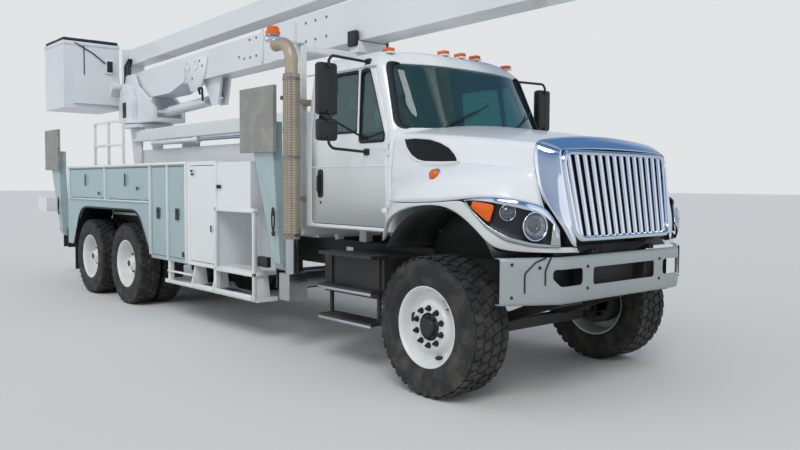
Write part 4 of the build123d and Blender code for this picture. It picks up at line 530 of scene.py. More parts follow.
def add_bands(bm, loops, closed=False):
    """Skin joining a row of loops or chains, each with the same number of points."""
    chains = []
    for loop in loops:
        points = [bm.verts.new(p) for p in loop]
        pairs = list(zip(points, points[1:])) + ([(points[-1], points[0])] if closed else [])
        chains.append([bm.edges.new(pair) for pair in pairs])
    for first, second in zip(chains, chains[1:]):
        bmesh.ops.bridge_loops(bm, edges=first + second)
    return chains


def creased_mesh():
    """Empty mesh that can hold crisp edges."""
    bm = bmesh.new()
    bm.edges.layers.float.new("crease_edge")
    return bm


def crease(bm, edges, weight=1.0):
    """Keep edges crisp under subdivision."""
    layer = bm.edges.layers.float["crease_edge"]
    for edge in edges:
        edge[layer] = weight


def thicken(obj, depth, offset=-1.0, lining=None):
    """Give a skin its sheet thickness, away from its outer face, and its inside a lining of its own."""
    shell = obj.modifiers.new("thickness", "SOLIDIFY")
    if lining:
        obj.data.materials.append(lining)
        shell.material_offset = 1
    shell.thickness = depth
    shell.offset = offset


def along(points, share):
    """Point part of the way along a chain, by length."""
    points = [Vector(p) for p in points]
    runs = [(b - a).length for a, b in zip(points, points[1:])]
    target = share * sum(runs)
    for start, end, run in zip(points, points[1:], runs):
        if target <= run:
            return start.lerp(end, target / run)
        target -= run
    return points[-1]


# Hood, from its feature lines: (forwards, outwards, up) at matching stations

HOOD_LINES = {
    "centre": (
        (-0.5, 0, 2.178), (-0.44, 0, 2.172), (-0.34, 0, 2.16), (-0.15, 0, 2.137), (0.05, 0, 2.11),
        (0.24, 0, 2.083), (0.4, 0, 2.057), (0.51, 0, 2.04), (0.575, 0, 2.029),
    ),
    "shoulder": (
        (-0.812, 0.955, 2.085), (-0.74, 0.95, 2.08), (-0.6, 0.942, 2.07), (-0.3, 0.915, 2.045),
        (0.0, 0.885, 2.017), (0.22, 0.86, 1.995), (0.4, 0.835, 1.976), (0.51, 0.818, 1.964),
        (0.575, 0.808, 1.957),
    ),
    "valley": (
        (-0.812, 1.003, 1.838), (-0.74, 1.002, 1.836), (-0.6, 1.0, 1.832), (-0.3, 0.99, 1.822),
        (0.0, 0.965, 1.808), (0.22, 0.935, 1.793), (0.4, 0.895, 1.777), (0.52, 0.858, 1.766),
        (0.598, 0.83, 1.758),
    ),
    "crown": (
        (-0.812, 1.006, 1.64), (-0.74, 1.035, 1.66), (-0.6, 1.068, 1.715), (-0.3, 1.085, 1.77),
        (0.0, 1.082, 1.785), (0.22, 1.062, 1.776), (0.4, 1.01, 1.755), (0.535, 0.94, 1.722),
        (0.628, 0.84, 1.676),
    ),
    "outer": (
        (-0.812, 1.01, 1.56), (-0.74, 1.085, 1.575), (-0.6, 1.15, 1.625), (-0.3, 1.178, 1.68),
        (0.0, 1.18, 1.69), (0.22, 1.162, 1.688), (0.4, 1.11, 1.676), (0.56, 1.01, 1.64), (0.652, 0.838, 1.58),
    ),
    "crease": (
        (-0.812, 1.013, 1.503), (-0.74, 1.105, 1.503), (-0.6, 1.178, 1.504), (-0.3, 1.203, 1.508),
        (0.0, 1.207, 1.52), (0.22, 1.196, 1.545), (0.44, 1.152, 1.562), (0.6, 1.055, 1.548),
        (0.69, 0.835, 1.48),
    ),
}
HOOD_STATIONS = len(HOOD_LINES["centre"])
SHOULDER_STEP = 0.055


def hood_row(station):
    """Half cross-section of the hood at one station, from the middle outwards."""
    centre, shoulder, valley, crown, outer, edge = (Vector(HOOD_LINES[name][station]) for name in HOOD_LINES)
    row = [centre]
    for share in (0.4, 0.75, 1 - SHOULDER_STEP):
        point = centre.lerp(shoulder, share)
        point.x = centre.x + (shoulder.x - centre.x) * share ** 2.2
        point.z = shoulder.z + (centre.z - shoulder.z) * (1 - share ** 2)
        row.append(point)
    row.append(shoulder)
    row.append(shoulder.lerp(valley, 0.22) + Vector((0, 0.012, 0)))
    row.append(shoulder.lerp(valley, 0.6) + Vector((0, 0.008, 0)))
    row += [valley, valley.lerp(crown, 0.5) + Vector((0, 0.012, 0.008)), crown, outer, edge]
    return row


def make_hood():
    bm = creased_mesh()
    loops = []
    for station in range(HOOD_STATIONS):
        half = hood_row(station)
        loops.append([sided(p, RIGHT) for p in reversed(half[1:])] + [sided(p, LEFT) for p in half])
    add_bands(bm, loops)
    valley = [sided(p, side) for side, _ in SIDES for p in HOOD_LINES["valley"]]
    for edge in bm.edges:
        ends = [min((v.co - p).length for p in valley) for v in edge.verts]
        if max(ends) < 0.001:
            crease(bm, [edge], 0.85)
        elif edge.is_boundary:
            crease(bm, [edge], 1.0)
    thicken(piece("hood_skin", bm, "hood", WHITE, replaces=("hood",), levels=2), 0.012)


SKIRT_PAIRS = (
    # upper line, then arch line: forwards, outwards, up
    ((-0.808, 1.09, 1.18), (-0.745, 1.165, 1.18)),
    ((-0.808, 1.075, 1.33), (-0.7, 1.18, 1.31)),
    ((-0.806, 1.03, 1.47), (-0.64, 1.19, 1.365)),
    ((-0.74, 1.105, 1.496), (-0.56, 1.196, 1.412)),
    ((-0.6, 1.178, 1.497), (-0.43, 1.202, 1.458)),
    ((-0.3, 1.204, 1.501), (-0.24, 1.205, 1.488)),
    ((0.0, 1.207, 1.513), (-0.02, 1.206, 1.493)),
    ((0.15, 1.203, 1.53), (0.11, 1.204, 1.462)),
    ((0.24, 1.197, 1.525), (0.21, 1.198, 1.415)),
    ((0.32, 1.187, 1.435), (0.3, 1.184, 1.35)),
    ((0.421, 1.15, 1.325), (0.385, 1.158, 1.268)),
    ((0.549, 1.08, 1.243), (0.45, 1.122, 1.18)),
    ((0.679, 0.935, 1.2), (0.64, 0.975, 1.165)),
    ((0.79, 0.79, 1.198), (0.785, 0.8, 1.16)),
    ((0.815, 0.6, 1.197), (0.812, 0.6, 1.158)),
)


def make_skirts():
    for side, side_name in SIDES:
        bm = creased_mesh()
        upper, lower = ([sided(pair[line], side) for pair in SKIRT_PAIRS] for line in (0, 1))
        inner = [p + Vector((0, -side * 0.05, 0)) for p in lower]
        middle = [a.lerp(b, 0.5) + Vector((0, side * 0.004, 0)) for a, b in zip(upper, lower)]
        chains = add_bands(bm, (upper, middle, lower, inner))
        crease(bm, chains[0], 1.0)
        crease(bm, chains[2], 0.7)
        thicken(piece(f"fender_skirt_{side_name}", bm, "hood", SKIRT, levels=2), 0.008)


INTAKE_OUTLINE = (
    (-0.7, 2.03), (-0.56, 2.033), (-0.397, 2.018), (-0.27, 1.985), (-0.167, 1.94), (-0.095, 1.884),
    (-0.045, 1.822), (-0.22, 1.822), (-0.418, 1.828), (-0.5, 1.845), (-0.58, 1.885), (-0.65, 1.95),
)


def hood_side(forward, up, side, proud=0.0):
    """Point on the hood's side panel, a little proud of it."""
    rows = [hood_row(station) for station in range(HOOD_STATIONS)]
    for first, second in zip(rows, rows[1:]):
        if first[4].x <= forward <= second[4].x:
            share = (forward - first[4].x) / (second[4].x - first[4].x)
            line = [a.lerp(b, share) for a, b in zip(first[4:8], second[4:8])]
            for high, low in zip(line, line[1:]):
                if low.z <= up <= high.z:
                    outward = high.lerp(low, (high.z - up) / (high.z - low.z)).y
                    return sided((forward, outward + proud, up), side)
            return sided((forward, line[0].y + proud, up), side)
    raise ValueError("outside the hood")


def make_intakes():
    for side, side_name in SIDES:
        rim, mesh, lip = bmesh.new(), bmesh.new(), bmesh.new()
        edge = [hood_side(a, b, side, 0.004) for a, b in INTAKE_OUTLINE]
        add_pipe(rim, edge + edge[:1], 0.009, bend=0.03, segments=8)
        piece(f"intake_rim_{side_name}", rim, "hood", WHITE)
        face = mesh.faces.new([mesh.verts.new(p) for p in edge])
        bmesh.ops.inset_region(mesh, faces=[face], thickness=0.012, depth=-0.006, use_even_offset=True)
        thicken(piece(f"intake_mesh_{side_name}", mesh, "hood", INTAKE), 0.004)
        lower = [hood_side(a, b, side, 0.003) for a, b in INTAKE_OUTLINE[1:7]]
        add_pipe(lip, lower, 0.009, bend=0.03, segments=10)
        piece(f"intake_lip_{side_name}", lip, "hood", WHITE)


# Chrome surround and grille, placed along three given lines of one half

SURROUND_LINES = (
    # outer edge
    ((0.822, 0.66, 1.19), (0.79, 0.74, 1.33), (0.735, 0.8, 1.44), (0.66, 0.838, 1.56), (0.618, 0.842, 1.7),
     (0.592, 0.838, 1.85), (0.586, 0.828, 1.94), (0.58, 0.79, 1.978), (0.572, 0.6, 2.003),
     (0.568, 0.3, 2.028), (0.566, 0.0, 2.036)),
    # ridge where the side turns to the front
    ((0.838, 0.65, 1.205), (0.815, 0.705, 1.33), (0.786, 0.73, 1.44), (0.748, 0.748, 1.56),
     (0.716, 0.755, 1.7), (0.688, 0.758, 1.85), (0.676, 0.745, 1.915), (0.668, 0.7, 1.945),
     (0.664, 0.54, 1.962), (0.668, 0.28, 1.978), (0.67, 0.0, 1.984)),
    # edge beside the grille frame
    ((0.83, 0.625, 1.215), (0.818, 0.655, 1.33), (0.8, 0.672, 1.44), (0.782, 0.684, 1.56),
     (0.758, 0.696, 1.7), (0.734, 0.706, 1.85), (0.727, 0.7, 1.893), (0.722, 0.672, 1.915),
     (0.722, 0.52, 1.922), (0.726, 0.27, 1.928), (0.728, 0.0, 1.93)),
)


def make_surround():
    bm = creased_mesh()
    chains = add_bands(bm, [[sided(p, RIGHT) for p in line] + [sided(p, LEFT) for p in reversed(line[:-1])]
                            for line in SURROUND_LINES])
    for chain, weight in zip(chains, (1.0, 0.45, 1.0)):
        crease(bm, chain, weight)
    thicken(piece("grille_surround", bm, "hood", CHROME, replaces=("grille",), levels=2), 0.01)


GRILLE_LOW, GRILLE_HIGH = 1.262, 1.885
GRILLE_FOOT, GRILLE_LEAN = 0.808, 0.157
GRILLE_HALF_LOW, GRILLE_HALF_HIGH = 0.622, 0.672
GRILLE_BOW, GRILLE_EDGE = 0.02, 0.02
BAR_COUNT = 14


def grille_point(across, up, proud=0.0):
    """Place on the leaning grille plane, with a slight bow towards the middle."""
    bow = GRILLE_BOW * (1 - (across / GRILLE_HALF_HIGH) ** 2)
    return Vector((x_of(GRILLE_FOOT - (up - GRILLE_LOW) * GRILLE_LEAN + bow + proud), across, up))


def grille_loop(inset, proud, corner=0.085, steps=6):
    """Rounded outline of the grille, set in from its edge."""
    loop = []
    centres = (
        (GRILLE_HALF_HIGH - inset - corner, GRILLE_HIGH - inset - corner, 0),
        (-GRILLE_HALF_HIGH + inset + corner, GRILLE_HIGH - inset - corner, 90),
        (-GRILLE_HALF_LOW + inset + corner, GRILLE_LOW + inset + corner, 180),
        (GRILLE_HALF_LOW - inset - corner, GRILLE_LOW + inset + corner, 270),
    )
    for across, up, start in centres:
        for step in range(steps + 1):
            angle = radians(start + 90 * step / steps)
            loop.append(grille_point(across + corner * cos(angle), up + corner * sin(angle), proud))
    return loop


GRILLE_FRAME = (
    # inset, how far it stands out, corner radius
    (-0.03, 0.012, 0.105), (-0.022, 0.03, 0.1), (-0.004, 0.036, 0.09), (0.01, 0.03, 0.08),
    (0.016, 0.004, 0.075), (0.016, -0.03, 0.075),
)
BAR_HALF_WIDTH, BAR_HALF_DEPTH, BAR_MARGIN, BAR_SET = 0.0225, 0.024, 0.012, -0.006


def make_grille():
    bm = bmesh.new()
    add_bands(bm, [grille_loop(*row) for row in GRILLE_FRAME], closed=True)
    piece("grille_frame", bm, "hood", CHROME, levels=1)

    bm = bmesh.new()
    bm.faces.new([bm.verts.new(p) for p in grille_loop(0.0, -0.045, 0.09)])
    thicken(piece("grille_mesh", bm, "hood", INTAKE), 0.004)

    bm = bmesh.new()
    for index in range(BAR_COUNT):
        share = (index + 0.5) / BAR_COUNT * 2 - 1
        low = grille_point(share * (GRILLE_HALF_LOW - GRILLE_EDGE), GRILLE_LOW + BAR_MARGIN, BAR_SET)
        high = grille_point(share * (GRILLE_HALF_HIGH - GRILLE_EDGE), GRILLE_HIGH - BAR_MARGIN, BAR_SET)
        add_oval_bar(bm, low, high, BAR_HALF_WIDTH, BAR_HALF_DEPTH)
    piece("grille_bars", bm, "hood", CHROME)


def add_oval_bar(bm, low, high, half_width, half_depth, segments=16):
    """Upright bar with an oval section, wide across the truck."""
    rise = (high - low).normalized()
    across = (Vector((0, 1, 0)) - rise * rise.y).normalized()
    ahead = across.cross(rise)
    turn = Matrix((across, ahead, rise)).transposed().to_4x4()
    size = Matrix.Diagonal((half_width, half_depth, 1, 1))
    bmesh.ops.create_cone(
        bm, cap_ends=True, cap_tris=False, segments=segments, radius1=1, radius2=1, depth=(high - low).length,
        matrix=Matrix.Translation((low + high) / 2) @ turn @ size,
    )


# Headlamps

LAMP_TOP = (
    (0.235, 1.197, 1.535), (0.33, 1.182, 1.552), (0.456, 1.146, 1.556), (0.6, 1.052, 1.54),
    (0.69, 0.95, 1.508), (0.715, 0.88, 1.49), (0.745, 0.835, 1.44), (0.79, 0.785, 1.33),
)
LAMP_BASE = (
    (0.24, 1.196, 1.52), (0.32, 1.188, 1.44), (0.421, 1.152, 1.33), (0.549, 1.082, 1.248),
    (0.679, 0.938, 1.206), (0.735, 0.87, 1.203), (0.77, 0.82, 1.203), (0.8, 0.78, 1.206),
)
LAMP_BELLY, LAMP_OUTWARD = 0.022, Vector((0.6, 0.8, 0))


def lamp_point(share, down, sink=0.0):
    """Place on the headlamp's patch: along it from its outer tip, and down it from the brow."""
    top, base = along(LAMP_TOP, share), along(LAMP_BASE, share)
    return top.lerp(base, down) + LAMP_OUTWARD * (LAMP_BELLY * sin(pi * down) - sink)


LAMP_STEPS = [index / 14 for index in range(15)]
LAMP_SKINS = (
    # name, finish, rows across the patch: how far down it, how deep
    ("bowl", PLASTIC, ((0.0, 0.0), (0.05, 0.0), (0.1, 0.03), (0.3, 0.045), (0.7, 0.045), (0.9, 0.03),
                       (0.95, 0.0), (1.0, 0.0))),
    ("brow", CHROME, ((-0.02, 0.0), (0.04, -0.008), (0.13, -0.009), (0.17, -0.002))),
    ("trim", BRUSHED, ((0.9, -0.004), (0.94, -0.012), (1.0, -0.01), (1.03, 0.0))),
)
LAMPS = (
    # name, place, radius, turn outwards in degrees
    ("dipped", (0.69, 0.95, 1.352), 0.098, 16), ("marker", (0.545, 1.075, 1.45), 0.056, 34),
)
TRIM_END = ((0.9, -0.002), (0.93, -0.014), (0.97, -0.014), (1.0, -0.004))
LAMP_SHELLS = (
    # name, finish, profile: along the lamp's axis, share of its radius
    ("ring", CHROME, ((-0.06, 0.5), (-0.05, 0.8), (0.0, 1.04), (0.018, 1.1), (0.026, 1.04), (0.018, 0.96),
                      (0.004, 0.93))),
    ("reflector", BRUSHED, ((-0.055, 0.0), (-0.05, 0.4), (-0.03, 0.75), (0.008, 0.93))),
    ("lens", LENS, ((0.012, 0.95), (0.022, 0.8), (0.034, 0.45), (0.038, 0.0))),
)
TURN_LENS_ALONG, TURN_LENS_DOWN = (0.1, 0.16, 0.22, 0.28, 0.33), (0.22, 0.4, 0.6, 0.8)
POLE = 0.001  # smallest radius of a spun profile


def make_lamp(side, side_name):
    for name, paint, rows in LAMP_SKINS:
        bm = bmesh.new()
        add_bands(bm, [[sided(lamp_point(s, down, sink), side) for s in LAMP_STEPS] for down, sink in rows])
        if name == "trim":
            add_bands(bm, [[sided(lamp_point(share, down, sink), side) for down in LAMP_STEPS[1:-1]]
                           for share, sink in TRIM_END])
        thicken(piece(f"headlamp_{name}_{side_name}", bm, "hood", paint, levels=1), 0.006)

    for lamp, place, radius, tilt in LAMPS:
        axis = Vector((cos(radians(tilt)), side * sin(radians(tilt)), 0.04)).normalized()
        for name, paint, profile in LAMP_SHELLS:
            bm = bmesh.new()
            shape = [(depth, radius * share or POLE) for depth, share in profile]
            add_lathe(bm, shape, sided(place, side), axis, 40)
            shell = piece(f"{lamp}_{name}_{side_name}", bm, "hood", paint, levels=1)
        thicken(shell, 0.004)

    bm = bmesh.new()
    add_bands(bm, [[sided(lamp_point(share, down, -0.002), side) for share in TURN_LENS_ALONG]
                   for down in TURN_LENS_DOWN])
    thicken(piece(f"turn_lens_{side_name}", bm, "hood", AMBER, levels=2), 0.004)


make_hood()
make_skirts()
make_intakes()
make_surround()
make_grille()
for side, side_name in SIDES:
    make_lamp(side, side_name)


# Wheels

FRONT_AXLE = -0.11
FRONT_WHEEL = {"radius": 0.55, "half_width": 0.195, "centres": (1.08,), "tread_half": 0.172, "blocks": 38}
REAR_WHEEL = {"radius": 0.55, "half_width": 0.1425, "centres": (0.745, 1.075), "tread_half": 0.122,
              "blocks": 36}
RIM_RADIUS, RIM_LIP = 0.298, 0.322
TREAD_DEPTH = 0.016
BLOCK_ROWS = (
    # place and width as shares of the tread's half width, turn in degrees, stagger in pitches
    (-0.8, 0.4, 6, 0.0), (-0.28, 0.48, 24, 0.35), (0.28, 0.48, 24, 0.85), (0.8, 0.4, 6, 0.5),
)
BLOCK_HALF, LUG_HALF, LUG_LEAN = 0.36, 0.26, radians(-16)  # half lengths in pitches


def tyre_profile(wheel):
    """Half-section of the carcass: distance from the tyre's middle, radius."""
    radius, half, tread = wheel["radius"] - TREAD_DEPTH, wheel["half_width"], wheel["tread_half"]
    wall = radius - RIM_RADIUS
    side = (
        (tread * 0.55, radius), (tread, radius - 0.006), (tread + 0.008, radius - 0.022),
        (half * 0.965, RIM_RADIUS + wall * 0.8), (half * 0.985, RIM_RADIUS + wall * 0.72),
        (half * 0.975, RIM_RADIUS + wall * 0.7), (half, RIM_RADIUS + wall * 0.5),
        (half * 0.985, RIM_RADIUS + wall * 0.3), (half * 0.975, RIM_RADIUS + wall * 0.285),
        (half * 0.93, RIM_RADIUS + wall * 0.15), (half * 0.87, RIM_RADIUS + 0.016),
        (half * 0.8, RIM_RADIUS + 0.002),
    )
    return [(-a, r) for a, r in reversed(side)] + list(side)


def add_block_ring(bm, wheel, centre, low, high, rounding, placed):
    """One tread block, put in its place and repeated round the wheel's axle."""
    before = set(bm.verts)
    add_box(bm, low, high, rounding, 1)
    made = [v for v in bm.verts if v not in before]
    bmesh.ops.transform(bm, matrix=placed, verts=made)
    faces = list({f for v in made for f in v.link_faces})
    edges = list({e for v in made for e in v.link_edges})
    repeats = wheel["blocks"] - 1
    bmesh.ops.spin(
        bm, geom=made + edges + faces, cent=centre, axis=(0, 1, 0), dvec=(0, 0, 0),
        angle=2 * pi * repeats / wheel["blocks"], steps=repeats, use_merge=False, use_normal_flip=False,
        use_duplicate=True,
    )


def add_tread(bm, wheel, centre):
    """Block tread with lugs on both shoulders."""
    radius, tread, count = wheel["radius"], wheel["tread_half"], wheel["blocks"]
    pitch = 2 * pi * radius / count
    for place, width_share, turn, stagger in BLOCK_ROWS:
        half = tread * width_share / 2
        lift = Matrix.Translation(centre + Vector((0, place * tread, radius)))
        swing = Matrix.Rotation(stagger * 2 * pi / count, 4, (0, 1, 0))
        around = Matrix.Translation(centre) @ swing @ Matrix.Translation(-centre)
        low, high = (-pitch * BLOCK_HALF, -half, -TREAD_DEPTH), (pitch * BLOCK_HALF, half, -0.002)
        placed = around @ lift @ Matrix.Rotation(radians(turn), 4, "Z")
        add_block_ring(bm, wheel, centre, low, high, 0.006, placed)
    for end in (-1, 1):
        lean = Matrix.Rotation(end * LUG_LEAN, 4, "X")
        place = Matrix.Translation(centre + Vector((0, end * (tread + 0.008), radius - 0.016)))
        low, high = (-pitch * LUG_HALF, -0.006, -0.052), (pitch * LUG_HALF, 0.006, 0.0)
        add_block_ring(bm, wheel, centre, low, high, 0.004, place @ lean)


def make_tyres(name, body, node, wheel, forward, side):
    bm = bmesh.new()
    for outward in wheel["centres"]:
        centre = Vector((x_of(forward), side * outward, wheel["radius"]))
        add_lathe(bm, tyre_profile(wheel), centre, (0, 1, 0), 96)
        add_tread(bm, wheel, centre)
    piece(name, bm, body, TREAD, replaces=(node,), smooth_angle=30)


FRONT_DISH = (
    # outward from the tyre's middle, radius
    (-0.15, 0.3), (-0.166, 0.304), (-0.172, RIM_LIP - 0.004), (-0.166, RIM_LIP), (-0.16, 0.306),
    (-0.12, 0.294), (-0.02, 0.28), (0.1, 0.286), (0.15, 0.296), (0.16, 0.306), (0.166, RIM_LIP),
    (0.172, RIM_LIP - 0.002), (0.174, 0.312), (0.166, 0.302), (0.15, 0.292), (0.105, 0.284), (0.082, 0.272),
    (0.072, 0.25), (0.076, 0.226), (0.098, 0.204), (0.126, 0.192), (0.134, 0.182), (0.136, 0.11),
    (0.12, 0.106), (0.06, 0.11), (0.04, 0.245), (0.03, 0.276),
)
REAR_DISH = (
    (-0.11, 0.3), (-0.122, 0.304), (-0.127, RIM_LIP - 0.004), (-0.122, RIM_LIP), (-0.116, 0.306),
    (-0.08, 0.294), (0.0, 0.282), (0.08, 0.288), (0.108, 0.296), (0.116, 0.306), (0.121, RIM_LIP),
    (0.127, RIM_LIP - 0.002), (0.128, 0.312), (0.12, 0.302), (0.1, 0.292), (0.04, 0.284), (-0.02, 0.276),
    (-0.045, 0.258), (-0.052, 0.235), (-0.046, 0.205), (-0.03, 0.19), (-0.026, 0.18), (-0.026, 0.11),
    (-0.04, 0.106), (-0.075, 0.12), (-0.09, 0.245), (-0.07, 0.276),
)
NUT_CIRCLE, NUT_COUNT, NUT_RADIUS = 0.144, 10, 0.0185
NUT_RODS = (
    # from, to, share of the radius, flats: washer, nut, stud
    (-0.004, 0.006, 1.35, 20), (0, 0.026, 1, 6), (0.02, 0.04, 0.55, 14),
)
HUB_BOLTS, HUB_CIRCLE = 8, 0.088
HUB_END = ((-0.045, 0.103), (-0.038, 0.096), (-0.034, 0.078), (-0.012, 0.074), (-0.002, 0.066), (0, 0.05),
           (0, POLE))
HAND_HOLES, HAND_HOLE_CIRCLE, HAND_HOLE_SIZE = (59, 171, 283), 0.249, (0.04, 0.017, 1, 1)
VALVE_PLACE, VALVE_RODS = Vector((0.19, 0, 0.155)), ((0, 0.05, 0.006), (0.04, 0.058, 0.0085))


def round_axle(angle):
    """Direction out from the axle at an angle."""
    return Vector((cos(angle), 0, sin(angle)))


def make_rim(name, body, node, wheel, forward, side, dishes, face, hub_end, hub_material):
    """Rims of one wheel body, with the nuts, hub, hand holes and valve on its outer face."""
    radius = wheel["radius"]
    bm = bmesh.new()
    for outward, (dish, facing) in zip(wheel["centres"], dishes):
        add_lathe(bm, dish, (x_of(forward), side * outward, radius), (0, side * facing, 0), 72, closed=True)
    piece(name, bm, body, RIM, replaces=(node,), smooth_angle=30)

    outer = Vector((x_of(forward), side * wheel["centres"][-1], radius))
    axis = Vector((0, side, 0))
    bm = bmesh.new()
    for index in range(NUT_COUNT):
        foot = outer + axis * face + round_axle(2 * pi * (index + 0.5) / NUT_COUNT) * NUT_CIRCLE
        for low, high, share, flats in NUT_RODS:
            ends = foot + axis * low, foot + axis * high
            add_rod(bm, *ends, NUT_RADIUS * share, segments=flats, width=0.002)
    piece(f"{name}_nuts", bm, body, PLASTIC, "chassis_black")

    bm = bmesh.new()
    profile = [(-0.12, 0.1), (face, 0.103)] + [(hub_end + back, radius) for back, radius in HUB_END]
    add_lathe(bm, profile, outer, axis, 48)
    for index in range(HUB_BOLTS):
        foot = outer + axis * (hub_end - 0.04) + round_axle(2 * pi * index / HUB_BOLTS) * HUB_CIRCLE
        add_rod(bm, foot, foot + axis * 0.014, 0.008, segments=6)
    piece(f"{name}_hub", bm, body, hub_material, "chassis_black")

    bm = bmesh.new()
    for turn in HAND_HOLES:
        out, about = round_axle(radians(turn)), round_axle(radians(turn + 90))
        foot = outer + axis * (face - 0.058) + out * HAND_HOLE_CIRCLE
        turned = Matrix((about, out, axis)).transposed().to_4x4()
        bmesh.ops.create_cone(
            bm, cap_ends=True, cap_tris=False, segments=28, radius1=1, radius2=1, depth=0.014,
            matrix=Matrix.Translation(foot) @ turned @ Matrix.Diagonal(HAND_HOLE_SIZE),
        )
    piece(f"{name}_hand_holes", bm, body, PLASTIC, "chassis_black")

    bm = bmesh.new()
    valve = outer + axis * (face - 0.055) + VALVE_PLACE
    for low, high, thick in VALVE_RODS:
        add_rod(bm, valve + axis * low, valve + axis * high, thick, segments=12, width=0.001)
    piece(f"{name}_valve", bm, body, STEEL, "chrome")


DRUM_FINS, DRUM_BORE, DRUM_RADIUS, FIN_RADIUS, GROOVE_RADIUS = 6, 0.15, 0.205, 0.208, 0.198


def make_drum(name, body, wheel, forward, side, inner, outer):
    """Finned brake drum behind the rim."""
    bm = bmesh.new()
    profile = [(inner, DRUM_BORE), (inner, DRUM_RADIUS)]
    for index in range(DRUM_FINS):
        low, high = (inner + (outer - inner) * share / DRUM_FINS for share in (index, index + 0.5))
        profile += [(low + 0.002, FIN_RADIUS), (high, FIN_RADIUS), (high + 0.002, GROOVE_RADIUS)]
    profile += [(outer, DRUM_RADIUS), (outer, DRUM_BORE)]
    add_lathe(bm, profile, (x_of(forward), 0, wheel["radius"]), (0, side, 0), 64)
    piece(name, bm, body, CASTING)


# Ends of the nodes' and of the pieces' names, wheel, dishes with the way they face, the nuts' face with
# the hub's end and finish, and the drum's ends
SINGLE = ("", "body", FRONT_WHEEL, ((FRONT_DISH, 1),), (0.136, 0.172, PLASTIC), (0.93, 1.1))
TWIN = ("s", "bodies", REAR_WHEEL, ((REAR_DISH, -1), (REAR_DISH, 1)), (-0.024, 0.085, RIM), (0.66, 0.83))
for side, side_name in SIDES:
    for axle, forward, kind in (("front", FRONT_AXLE, SINGLE), ("middle", -6.17, TWIN), ("rear", -7.54, TWIN)):
        plural, ending, wheel, dishes, hub, drum = kind
        body = f"{axle}_wheel{plural}_{side_name}"
        tyre, rim = ((f"{axle}_{part}_{ending}_{side_name}", body, f"{axle}_{part}{plural}_{side_name}")
                     for part in ("tyre", "rim"))
        make_tyres(*tyre, wheel, forward, side)
        make_rim(*rim, wheel, forward, side, dishes, *hub)
        make_drum(f"{axle}_drum_{side_name}", body, wheel, forward, side, *drum)


# Cab, lofted through rounded plans

CAB_FLOOR, BELT, EAVES, ROOF_EDGE, ROOF_TOP = 1.23, 2.11, 2.64, 2.845, 2.872
COWL_HALF = 0.45
LOWER_PLAN = (1.0, -0.82, -0.52, -2.17)
EAVES_PLAN = (0.9375, -1.032, -0.82, -2.128)
ROOF_ROUND, ROOF_LEAN, ROOF_STEPS, ROOF_SHARES = 0.17, 0.06, 7, (0.75, 0.45, 0.15)
PLAN_RADII = (0.1, 0.09, 1.55, 1.55, 0.09, 0.1)
ROOF_CENTRE = Vector((-1.56, 0))
DOOR_OUTLINE = ((-0.87, 1.275), (-2.015, 1.275), (-2.015, 2.7), (-1.135, 2.7), (-0.87, 2.08))
VENT_OUTLINE = ((-0.925, 2.026), (-1.262, 2.026), (-1.318, 2.66), (-1.196, 2.66), (-0.925, 2.096))
PANE_OUTLINE = ((-1.302, 2.118), (-1.905, 2.118), (-1.905, 2.66), (-1.352, 2.66))
SCREEN_OUTLINE = ((-0.945, 2.13), (0.945, 2.13), (0.858, 2.716), (-0.858, 2.716))
REAR_WINDOW = ((-0.48, 2.15), (0.48, 2.15), (0.48, 2.56), (-0.48, 2.56))
DOOR_GAP, CUT_MARGIN = 0.007, 0.001
SIDE_REGION, FRONT_REGION, BACK_REGION = 0.55, -1.35, -2.0


def rounded(points, radii, steps=6):
    """Closed outline with its corners turned into arcs."""
    points = [Vector(p) for p in points]
    radii = radii if hasattr(radii, "__len__") else [radii] * len(points)
    loop = []
    for index, corner in enumerate(points):
        before, after = points[index - 1], points[(index + 1) % len(points)]
        come, go = (corner - before).normalized(), (after - corner).normalized()
        turn = come.angle(go)
        shorter = min((corner - before).length, (after - corner).length)
        reach = min(radii[index] * sin(turn / 2) / cos(turn / 2), shorter * MOST_OF_RUN)
        start, end = corner - come * reach, corner + go * reach
        for share in (step / steps for step in range(steps + 1)):
            loop.append(start.lerp(corner, share).lerp(corner.lerp(end, share), share))
    return loop


def outward_normal(a, b, middle):
    """Normal of an outline's edge, pointing away from its middle."""
    normal = Vector(((b - a).y, -(b - a).x)).normalized()
    return -normal if normal.dot(a - middle) < 0 else normal


def grown(outline, margin):
    """Outline moved outwards by a margin, for a convex outline in either direction."""
    points = [Vector(p) for p in outline]
    middle = sum(points, Vector((0, 0))) / len(points)
    lines = []
    for a, b in zip(points, points[1:] + points[:1]):
        normal = outward_normal(a, b, middle)
        lines.append((normal, normal.dot(a) + margin))
    moved = []
    for (n1, d1), (n2, d2) in zip(lines[-1:] + lines[:-1], lines):
        cross = n1.x * n2.y - n1.y * n2.x
        moved.append(Vector(((d1 * n2.y - d2 * n1.y) / cross, (n1.x * d2 - n2.x * d1) / cross)))
    return moved


def cab_plan(half, corner, front, back):
    """Rounded plan of the cab at one height."""
    right = ((back, -half), (corner, -half), (front, -COWL_HALF))
    left = ((front, COWL_HALF), (corner, half), (back, half))
    return rounded(right + left, PLAN_RADII)


